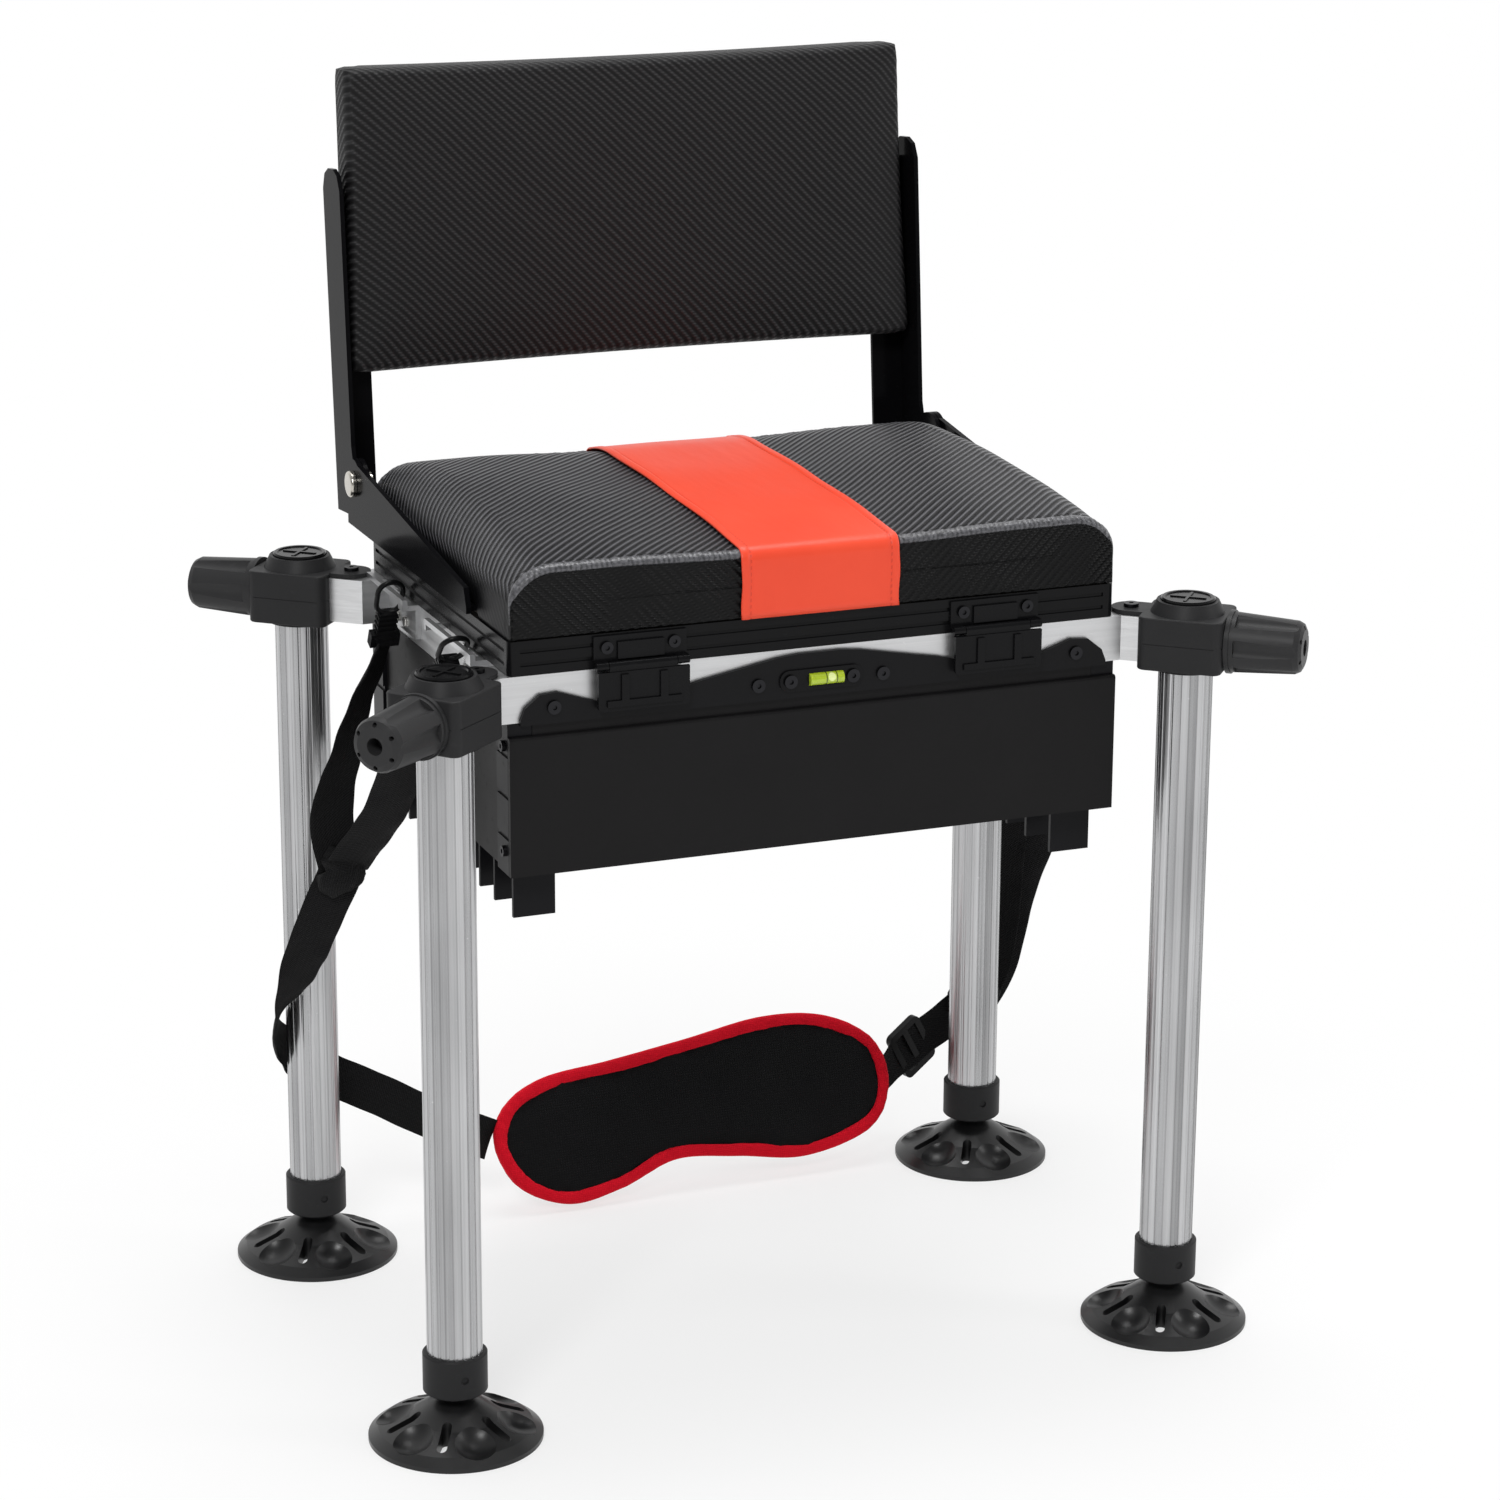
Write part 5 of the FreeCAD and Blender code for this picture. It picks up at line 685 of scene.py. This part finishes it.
def make_shoulder():
    """A padded waisted plate with a red binding sewn round its edge."""
    edge = shoulder_outline()
    n = len(edge)
    inward = []
    for k in range(n):
        along = (edge[(k + 1) % n] - edge[k - 1]).normalized()
        inward.append(Vector((along.y, -along.x)))
    middles = []
    for p in edge:
        x = max(-0.100, min(0.105, p.x))
        middles.append(Vector((x, -0.012 + 0.012 * (x + 0.1) / 0.2)))
    if (middles[0] - edge[0]).dot(inward[0]) < 0:
        inward = [-v for v in inward]

    def at(k, deep, y):
        p = edge[k] + inward[k] * deep
        return Vector((p.x, y, p.y))

    # The pad leans back with its lowest edge just off the floor
    cos, sin = math.cos(SHOULDER_LEAN), math.sin(SHOULDER_LEAN)
    middle_z = SHOULDER_LOW * cos + SHOULDER_DEEP * sin + SHOULDER_CLEAR
    middle_y = 0.162 + SHOULDER_LOW * sin
    place = (Matrix.Translation(SHIFT) @ Matrix.Translation((0.041, middle_y, middle_z))
             @ Matrix.Rotation(-SHOULDER_LEAN, 4, "X"))
    # The binding's two leaves and rounded rim, as depth from the edge and Y from the front face
    profile = [(0.0092, 0.0012), (0.0084, 0.0002), (0.0070, -0.0003), (0.0040, -0.0004), (0.0015, 0.0004),
               (0.0002, 0.0022), (0.0, 0.0045), (0.0002, 0.0068), (0.0015, 0.0086), (0.0040, 0.0094),
               (0.0070, 0.0093), (0.0084, 0.0088), (0.0092, 0.0078)]
    rings = []
    for j, (deep, y) in enumerate(profile):
        leaf_edge = j in (0, len(profile) - 1)
        ring = []
        for k in range(n):
            pucker = 0.0 if leaf_edge else 0.0004 * math.sin(k * 1.9) + 0.00035 * math.sin(k * 0.83 + 1)
            wander = 0.0005 * math.sin(k * 0.31) + 0.0004 * noise.noise(Vector((k * 0.5, j, 0)))
            drawn = deep + (wander if deep > 0.005 else 0)
            ring.append(at(k, drawn, y + (pucker if y < 0.0045 else -pucker)))
        rings.append(ring)
    points, faces = skin(rings, cap_ends=False)
    binding = new_object("shoulder_binding", points, faces, "binding", None)
    # The faces' rings, from the binding in to the middle line, puffed and uneven
    levels = [0.0, 0.03, 0.07, 0.12, 0.2, 0.3, 0.42, 0.56, 0.72, 0.88, 1.0]
    rings = []
    for front in (True, False):
        for level in levels if front else reversed(levels):
            ring = []
            for k in range(n):
                rim = edge[k] + inward[k] * 0.0078
                p = rim.lerp(middles[k], level)
                puff = 0.0036 * (1 - (1 - min(1, level * 1.9)) ** 2)
                dent = 0.0013 * noise.noise(Vector((p.x * 26, p.y * 34, 3 if front else 7)))
                tuck = 0.0007 * math.sin(k * 0.95) * max(0, 1 - level * 7)
                y = 0.0018 - puff * 0.62 + dent + tuck if front else 0.0072 + puff * 0.5 + dent
                ring.append(Vector((p.x, y, p.y)))
            rings.append(ring)
    points, faces = skin(rings, cap_ends=False)
    # The two faces meet at the rim, not along the middle line
    half, last = len(levels) * n, (len(rings) - 1) * n
    faces = [f for f in faces if not (min(f) < half <= max(f))]
    faces += [(k, last + k, last + (k + 1) % n, (k + 1) % n) for k in range(n)]
    pad = new_object("shoulder_pad_body", points, faces, "pad_face", None)
    weld = bmesh.new()
    weld.from_mesh(pad.data)
    bmesh.ops.remove_doubles(weld, verts=weld.verts, dist=0.0004)
    weld.to_mesh(pad.data)
    weld.free()
    for obj in (binding, pad):
        obj.matrix_world = place
        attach(obj, "chassis")
    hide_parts("shoulder_pad")


make_shoulder()

# --- the seat cushion

# The cover's half sizes and the heights of its lower edge and its inside
HALF_X, HALF_Y, SKIRT, INNER = 0.2072, 0.1435, 0.5229, 0.5306
# Its lower edge is cut higher between these places, over the lid's profile
SKIRT_MIDDLE, CUT_FRONT, CUT_REAR = 0.5303, -0.081, 0.141
INSIDE_X = 0.2047
# The radius of its long shoulders, and their height as a share of it
TURN, FLATNESS = 0.029, 0.86
SIDE_STEPS, TURN_STEPS, TOP_STEPS, UNDER_STEPS = 12, 16, 36, 24
OUTER = 2 * (SIDE_STEPS + TURN_STEPS + 1 + TOP_STEPS) - 1


def seat_top(x, y):
    """Height of the cushion's top at a place, away from its rounded shoulders."""
    crown = 0.5662 + 0.0098 * (1 - ((y - 0.085) / 0.2285) ** 2)
    crown -= 0.0062 * max(0.0, (y - 0.100) / 0.0435) ** 2
    share = min(1.0, max(0.0, (abs(x) - 0.048) / 0.095))
    pull = share * share * (3 - 2 * share)
    return crown + 0.0055 * pull * (0.4 + 0.6 * (1 - (y / HALF_Y) ** 2))


def seat_profile(y, inner):
    """One section of the cover: up one side, over the top, down the other and under."""
    skirt = SKIRT_MIDDLE if CUT_FRONT < y < CUT_REAR else SKIRT
    swell = 0.0009 * (1 - (abs(y) / HALF_Y) ** 2)
    rise = TURN * FLATNESS
    high = seat_top(HALF_X - TURN, y)
    half = []
    for k in range(SIDE_STEPS):
        share = k / SIDE_STEPS
        half.append((HALF_X + swell * math.sin(math.pi * share), skirt + (high - rise - skirt) * share))
    for k in range(TURN_STEPS + 1):
        a = math.pi / 2 * k / TURN_STEPS
        half.append((HALF_X - TURN + TURN * math.cos(a), high - rise + rise * math.sin(a)))
    for k in range(1, TOP_STEPS + 1):
        x = (HALF_X - TURN) * (1 - k / TOP_STEPS)
        half.append((x, seat_top(x, y)))
    over = [(-x, z) for x, z in half[:-1]] + [half[-1]] + [(x, z) for x, z in reversed(half[:-1])]
    under = [(INSIDE_X, skirt), (INSIDE_X, inner)]
    under += [(INSIDE_X * (1 - 2 * k / UNDER_STEPS), inner) for k in range(1, UNDER_STEPS)]
    under += [(-INSIDE_X, inner), (-INSIDE_X, skirt)]
    return over + under


# The hem beside each end seam, as depth and lift, and the end panel's rings from the seam inward
HEM = ((0.0, -0.0008), (0.0010, -0.0002), (0.0030, 0.0), (0.0050, -0.0003), (0.0066, 0.0))
HEM_DEEP = 0.0066
PANEL = ((0.996, 0.0004), (0.988, 0.0012), (0.97, 0.0019), (0.94, 0.0023), (0.8, 0.0024), (0.55, 0.0024),
         (0.3, 0.0024), (0.03, 0.0024))
PANEL_HALF, PANEL_Z = 0.178, 0.5445
LENGTH_STEPS = 56


def make_seat():
    """The ribbed vinyl cover: one closed form with sewn end panels."""

    def row(y, lift=0.0, inner=INNER):
        """One ring of the cover, a little uneven, and sunk under the stripe."""
        base = min(HALF_Y, abs(y)) * (1 if y > 0 else -1)
        ring = []
        for n, (x, z) in enumerate(seat_profile(base, inner)):
            outer = n < OUTER
            out = Vector((x * 0.25, 0, 1 if z > 0.545 else 0)) if abs(x) < 0.18 else Vector((x * 4, 0, 0.3))
            out = out.normalized() if outer and z > SKIRT + 0.002 else Vector()
            wave = 0.0
            if outer:
                inner_share = min(1, (HALF_Y - abs(base)) / 0.03)
                wave = 0.0011 * noise.noise(Vector((x * 11, y * 13, 1.5))) * inner_share
            sunk = 0.0016 if outer and abs(x) < 0.049 else 0.0
            ring.append(Vector((x, y, z - sunk)) + out * (lift + wave))
        return ring

    def end_panel(sign):
        """Rings from the seam in to the panel's middle line."""
        made = []
        for share, out in PANEL:
            ring = []
            for x, z in seat_profile(HALF_Y * sign, SKIRT + 0.0002):
                mx = max(-PANEL_HALF, min(PANEL_HALF, x))
                p = Vector((mx + (x - mx) * share, 0, PANEL_Z + (z - PANEL_Z) * share))
                dent = 0.0008 * noise.noise(Vector((p.x * 22, 5 * sign, p.z * 60)))
                ring.append(Vector((p.x, sign * (HALF_Y + out + dent), p.z)))
            made.append(ring)
        return made

    rings = list(reversed(end_panel(-1)))
    for deep, lift in HEM:
        rings.append(row(-HALF_Y + deep, lift, SKIRT + 0.0002 if deep < 0.002 else INNER))
    for k in range(1, LENGTH_STEPS):
        rings.append(row(-HALF_Y + HEM_DEEP + (2 * HALF_Y - 2 * HEM_DEEP) * k / LENGTH_STEPS))
    for deep, lift in reversed(HEM):
        rings.append(row(HALF_Y - deep, lift, SKIRT + 0.0002 if deep < 0.002 else INNER))
    rings += end_panel(1)
    points, faces = skin(rings)
    obj = new_object("seat_cover", points, faces, "seat", "lid")
    for face in obj.data.polygons:
        if abs(face.normal.y) > 0.9:
            face.use_smooth = False
    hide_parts("seat_cushion")


make_seat()


# A welt's section, from under the seam out over the edge: depth and lift
WELT = ((-0.0022, -0.0038), (-0.0032, -0.0028), (-0.0031, -0.0014), (-0.0018, 0.0001), (0.0, 0.0010),
        (0.0022, 0.0013), (0.0040, 0.0009), (0.0050, -0.0002), (0.0052, -0.0014))


def make_welt(end, side):
    """The puckered welt along an end seam, from under the stripe down the corner."""
    corners = [p for p in seat_profile(HALF_Y * end, INNER)[:OUTER] if p[0] * side > 0.0505 and p[1] > 0.532]
    line = []
    for a, b in zip(corners, corners[1:]):
        line += [Vector(a).lerp(Vector(b), k / 5) for k in range(5)]
    line.append(Vector(corners[-1]))
    rings, run = [], 0.0
    for n, p in enumerate(line):
        before, after = line[max(n - 1, 0)], line[min(n + 1, len(line) - 1)]
        run += (p - line[n - 1]).length if n else 0.0
        along = (after - before).normalized()
        out = Vector((-along.y, along.x))
        # It thins away down the corner and puckers along the top
        size = min(1.0, max(0.0, (p.y - 0.536) / 0.026))
        size = 0.10 + 0.90 * size * size * (3 - 2 * size)
        tuck = 1 + 0.08 * math.sin(run * 1850) + 0.50 * noise.noise(Vector((run * 150, end, side)))
        ring = []
        for deep, lift in WELT:
            at = p + out * (lift * (size * tuck if lift > -0.0003 else size))
            drift = 0.0003 * math.sin(run * 900) if deep > 0.004 else 0.0
            proud = deep * size
            if deep < -0.0026 and size < 0.5:
                proud = max(proud, -0.0024)
            ring.append(Vector((at.x, end * (HALF_Y - proud - drift), at.y)))
        rings.append(ring)
    points, faces = skin(rings)
    name = f"seat_welt_{'rear' if end > 0 else 'front'}_{'right' if side > 0 else 'left'}"
    new_object(name, points, faces, "welt", "lid")


for end in (-1, 1):
    for side in (-1, 1):
        make_welt(end, side)


# The stripe's lower edge, its gap from the ends, its turn over the edge and its drop below the top
STRIPE_LOW, STRIPE_PROUD, STRIPE_TURN, STRIPE_DROP = 0.5232, 0.0046, 0.0085, 0.0060
STRIPE_EDGE_STEPS, STRIPE_TOP_STEPS = 8, 60
STRIPE_HALF = [-0.054, -0.0537, -0.0530, -0.0500, -0.0487, -0.0480, -0.0473, -0.046, -0.040, -0.028, -0.014]


def stripe_path(x):
    """The stripe's way over the cushion at x: Y, Z and the outward direction at each step."""
    fore, aft = seat_top(x, -HALF_Y + 0.003), seat_top(x, HALF_Y - 0.003)
    steps = STRIPE_EDGE_STEPS
    far = HALF_Y + STRIPE_PROUD
    start = far - STRIPE_TURN
    made = []
    for k in range(steps + 1):
        made.append((-far, STRIPE_LOW + (fore - STRIPE_DROP - STRIPE_LOW) * k / steps, (0, -1, 0)))
    for k in range(1, steps + 1):
        a = math.pi / 2 * k / steps
        made.append((-far + STRIPE_TURN * (1 - math.cos(a)), fore - STRIPE_DROP + STRIPE_TURN * math.sin(a),
                     (0, -math.cos(a), math.sin(a))))
    for k in range(1, STRIPE_TOP_STEPS):
        share = k / STRIPE_TOP_STEPS
        y = -start + 2 * start * share
        made.append((y, seat_top(x, y) + 0.0025 - 0.0008 * math.sin(math.pi * share), (0, 0, 1)))
    for k in range(steps, -1, -1):
        a = math.pi / 2 * k / steps
        made.append((far - STRIPE_TURN * (1 - math.cos(a)), aft - STRIPE_DROP + STRIPE_TURN * math.sin(a),
                     (0, math.cos(a), math.sin(a))))
    for k in range(steps - 1, -1, -1):
        made.append((far, STRIPE_LOW + (aft - STRIPE_DROP - STRIPE_LOW) * k / steps, (0, 1, 0)))
    return made


def stripe_lift(away):
    """The stripe's lift off its path: a raised hem, a stitched line and a turned edge."""
    if away > 0.0539:
        return 0.0
    if away >= 0.0537:
        return 0.0004
    if 0.0487 <= away <= 0.0530:
        return 0.0007
    return -0.0001 if abs(away - 0.048) < 0.0003 else 0.0002


def make_stripe():
    """The orange cover over the middle of the seat, hemmed along both edges."""
    across = STRIPE_HALF + [0.0] + [-x for x in reversed(STRIPE_HALF)]
    paths = {abs(x): stripe_path(abs(x)) for x in across}
    rings = []
    for n in range(len(paths[0.0])):
        top, low = [], []
        for x in across:
            y, z, out = paths[abs(x)][n]
            out = Vector(out)
            wave = 0.0007 * noise.noise(Vector((x * 24, y * 17, z * 20)))
            shift = 0.0005 * math.sin(y * 60) + 0.0004 * math.sin(z * 210)
            at = Vector((x + shift, y, z))
            top.append(at + out * (stripe_lift(abs(x)) + wave))
            low.append(at - out * 0.0008)
        rings.append(top + list(reversed(low)))
    points, faces = skin(rings)
    new_object("seat_stripe", points, faces, "stripe", "lid")


make_stripe()

# --- the backrest


# The backrest's pad at its pivot before it leans back: heights, front and back faces, half widths
BACK_LOW, BACK_HIGH, BACK_FRONT, BACK_REAR = 0.071, 0.277, 0.0229, 0.0655
BACK_HALF_LOW, BACK_HALF_HIGH = 0.2080, 0.2030
BACK_CORNER, BACK_CORNER_X = 0.008, 0.2055
BACK_PIVOT, BACK_LEAN = (0, 0.158, 0.557), math.radians(-5)
# Beyond this X the pad's back lies against the uprights, no deeper than this Y
UPRIGHT_X, UPRIGHT_Y = 0.1862, 0.0454


def back_outline(inset):
    """The pad's front outline, drawn in by inset, and the middles that it faces."""
    made = []
    for side, count in (("low", 60), ("right", 34), ("high", 60), ("left", 34)):
        for k in range(count):
            t = k / count
            if side in ("low", "high"):
                x = -1 + 2 * t if side == "low" else 1 - 2 * t
                z = BACK_LOW if side == "low" else BACK_HIGH
                sag = 0.0020 * (1 - x * x) * (1 if side == "low" else -1)
                half = BACK_HALF_LOW if side == "low" else BACK_HALF_HIGH
                made.append(Vector((x * half, z + sag)))
            else:
                share = t if side == "right" else 1 - t
                half = BACK_HALF_LOW * (1 - share) + BACK_HALF_HIGH * share
                half -= 0.0012 * math.sin(math.pi * share)
                z = BACK_LOW + (BACK_HIGH - BACK_LOW) * share
                made.append(Vector((half if side == "right" else -half, z)))
    rounded = []
    for p in made:
        cx = max(-BACK_CORNER_X + BACK_CORNER, min(BACK_CORNER_X - BACK_CORNER, p.x))
        cz = max(BACK_LOW + BACK_CORNER, min(BACK_HIGH - BACK_CORNER, p.y))
        off = Vector((p.x - cx, p.y - cz))
        if abs(off.x) > 1e-6 and abs(off.y) > 1e-6:
            off = off.normalized() * max(abs(off.x), abs(off.y))
        rounded.append(Vector((cx, cz)) + off)
    mids = [Vector((max(-0.11, min(0.11, p.x)), (BACK_LOW + BACK_HIGH) / 2)) for p in rounded]
    return [p + (m - p).normalized() * inset for p, m in zip(rounded, mids)], mids


def make_back():
    """The backrest's cover, made at its pivot and leaned back."""

    def ring(inset, y, share=1.0, crown=0.0, pucker=0.0):
        """A ring at depth y, drawn toward the middles by share, crowned and puckered."""
        made = []
        outline, mids = back_outline(inset)
        for k, p in enumerate(outline):
            q = mids[k].lerp(p, share)
            edge = min(1.0, (1 - share) * 2.2)
            bulge = crown * (1 - (1 - edge) ** 2)
            wave = 0.0012 * noise.noise(Vector((q.x * 9, q.y * 9, y * 40))) * edge
            tuck = pucker * math.sin(k * 2.3) * (0.6 + 0.4 * math.sin(k * 0.37))
            made.append(Vector((q.x, y - bulge + wave + tuck, q.y)))
        return made

    rings = [ring(0.006, BACK_REAR, s, -0.001) for s in (0.02, 0.3, 0.6, 0.85, 0.97)]
    rings += [ring(0.003, BACK_REAR), ring(0.0006, BACK_REAR - 0.002), ring(0.0, BACK_REAR - 0.005)]
    rings += [ring(-0.0004, y) for y in (0.055, 0.050, 0.046, 0.0454, 0.040, 0.036)]
    for k in range(9):
        a = math.pi / 2 * k / 8
        y = BACK_FRONT + 0.0085 * (1 - math.sin(a))
        rings.append(ring(0.0075 * (1 - math.cos(a)), y, pucker=0.00035))
    rings += [ring(0.0075, BACK_FRONT, s, 0.0032)
              for s in (0.985, 0.96, 0.92, 0.86, 0.78, 0.68, 0.55, 0.4, 0.22, 0.02)]
    for made in rings:
        for p in made:
            if abs(p.x) > UPRIGHT_X and p.y > UPRIGHT_Y:
                p.y = UPRIGHT_Y
            p.x = max(-0.2090, min(0.2090, p.x))
    points, faces = skin(rings)
    obj = new_object("backrest_cover", points, faces, "back", None)
    obj.matrix_world = (Matrix.Translation(SHIFT) @ Matrix.Translation(BACK_PIVOT)
                        @ Matrix.Rotation(BACK_LEAN, 4, "X"))
    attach(obj, "backrest")
    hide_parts("backrest_pad")


make_back()

# --- floor and light


FLOOR_HALF = 40
# Beyond the far reach the floor is as white as the backdrop; nearer it keeps the shadow
REACH_NEAR, REACH_FAR, SHARE_NEAR = 0.25, 0.80, 0.62
# Dimmer behind the camera, so that metal has something dark to mirror
WORLD_AHEAD = (0.37, 0.93, 0.12)
WORLD_RAMP = (-0.45, 0.75, 0.30, 1.0)
# Each lamp's name, place, target, size and power
LAMPS = (("key", (-1.7, -2.4, 2.9), (0, 0, 0.45), (1.1, 0.9), 62),
         ("fill", (2.6, -1.6, 1.5), (0, 0, 0.4), (0.7, 1.6), 16),
         ("top", (0.3, 0.5, 3.0), (0, 0, 0.5), (1.6, 1.2), 34))


def area_light(name, at, target, size, power):
    data = bpy.data.lights.new(name, "AREA")
    data.shape = "RECTANGLE"
    data.size, data.size_y = size
    data.energy = power
    obj = bpy.data.objects.new(name, data)
    obj.location = at
    obj.rotation_euler = (Vector(target) - Vector(at)).to_track_quat("-Z", "Y").to_euler()
    bpy.context.scene.collection.objects.link(obj)


def floor_pale():
    """A pale matt floor, mixed with plain white where it is seen or mirrored."""
    p = Paint("floor_pale")
    cloud = p.noise(1.5, 2.0)
    pale = p.set(p.mix(cloud, (0.83, 0.83, 0.83), (0.86, 0.86, 0.86)), 0.9)
    x, y, _ = p.split()
    reach = p.math("SQRT", p.add(p.mul(x, x), p.mul(y, y)))
    rays = p.node("ShaderNodeLightPath").outputs
    mirrored = p.math("MAXIMUM", rays["Is Glossy Ray"], rays["Is Transmission Ray"])
    seen = p.math("MAXIMUM", rays["Is Camera Ray"], mirrored)
    white = p.node("ShaderNodeEmission", Strength=1.0)
    blend = p.tree.nodes.new("ShaderNodeMixShader")
    p.put(blend.inputs[0], p.mul(p.ramp(reach, REACH_NEAR, REACH_FAR, SHARE_NEAR, 1.0), seen))
    p.put(blend.inputs[1], p.bsdf.outputs[0])
    p.put(blend.inputs[2], white.outputs[0])
    p.put(p.tree.nodes["Material Output"].inputs["Surface"], blend.outputs[0])
    return pale


def make_floor():
    corners = [(x * FLOOR_HALF, y * FLOOR_HALF, 0) for x, y in ((-1, -1), (1, -1), (1, 1), (-1, 1))]
    floor = bpy.data.meshes.new("floor")
    floor.from_pydata(corners, [], [(0, 1, 2, 3)])
    obj = bpy.data.objects.new("floor", floor)
    bpy.context.scene.collection.objects.link(obj)
    floor.materials.append(floor_pale())


def make_world():
    """A white backdrop whose strength falls off behind the camera."""
    world = bpy.data.worlds.new("world")
    bpy.context.scene.world = world
    world.use_nodes = True
    tree = world.node_tree
    back = tree.nodes["Background"]
    back.inputs["Color"].default_value = (1, 1, 1, 1)
    coord = tree.nodes.new("ShaderNodeTexCoord")
    ahead = tree.nodes.new("ShaderNodeVectorMath")
    ahead.operation = "DOT_PRODUCT"
    ahead.inputs[1].default_value = WORLD_AHEAD
    tree.links.new(coord.outputs["Generated"], ahead.inputs[0])
    rise = tree.nodes.new("ShaderNodeMapRange")
    rise.interpolation_type = "SMOOTHSTEP"
    for socket, value in zip(list(rise.inputs)[1:5], WORLD_RAMP):
        socket.default_value = value
    tree.links.new(ahead.outputs["Value"], rise.inputs[0])
    tree.links.new(rise.outputs[0], back.inputs["Strength"])


make_floor()
make_world()
for lamp in LAMPS:
    area_light(*lamp)
bpy.context.scene.view_settings.view_transform = "Standard"
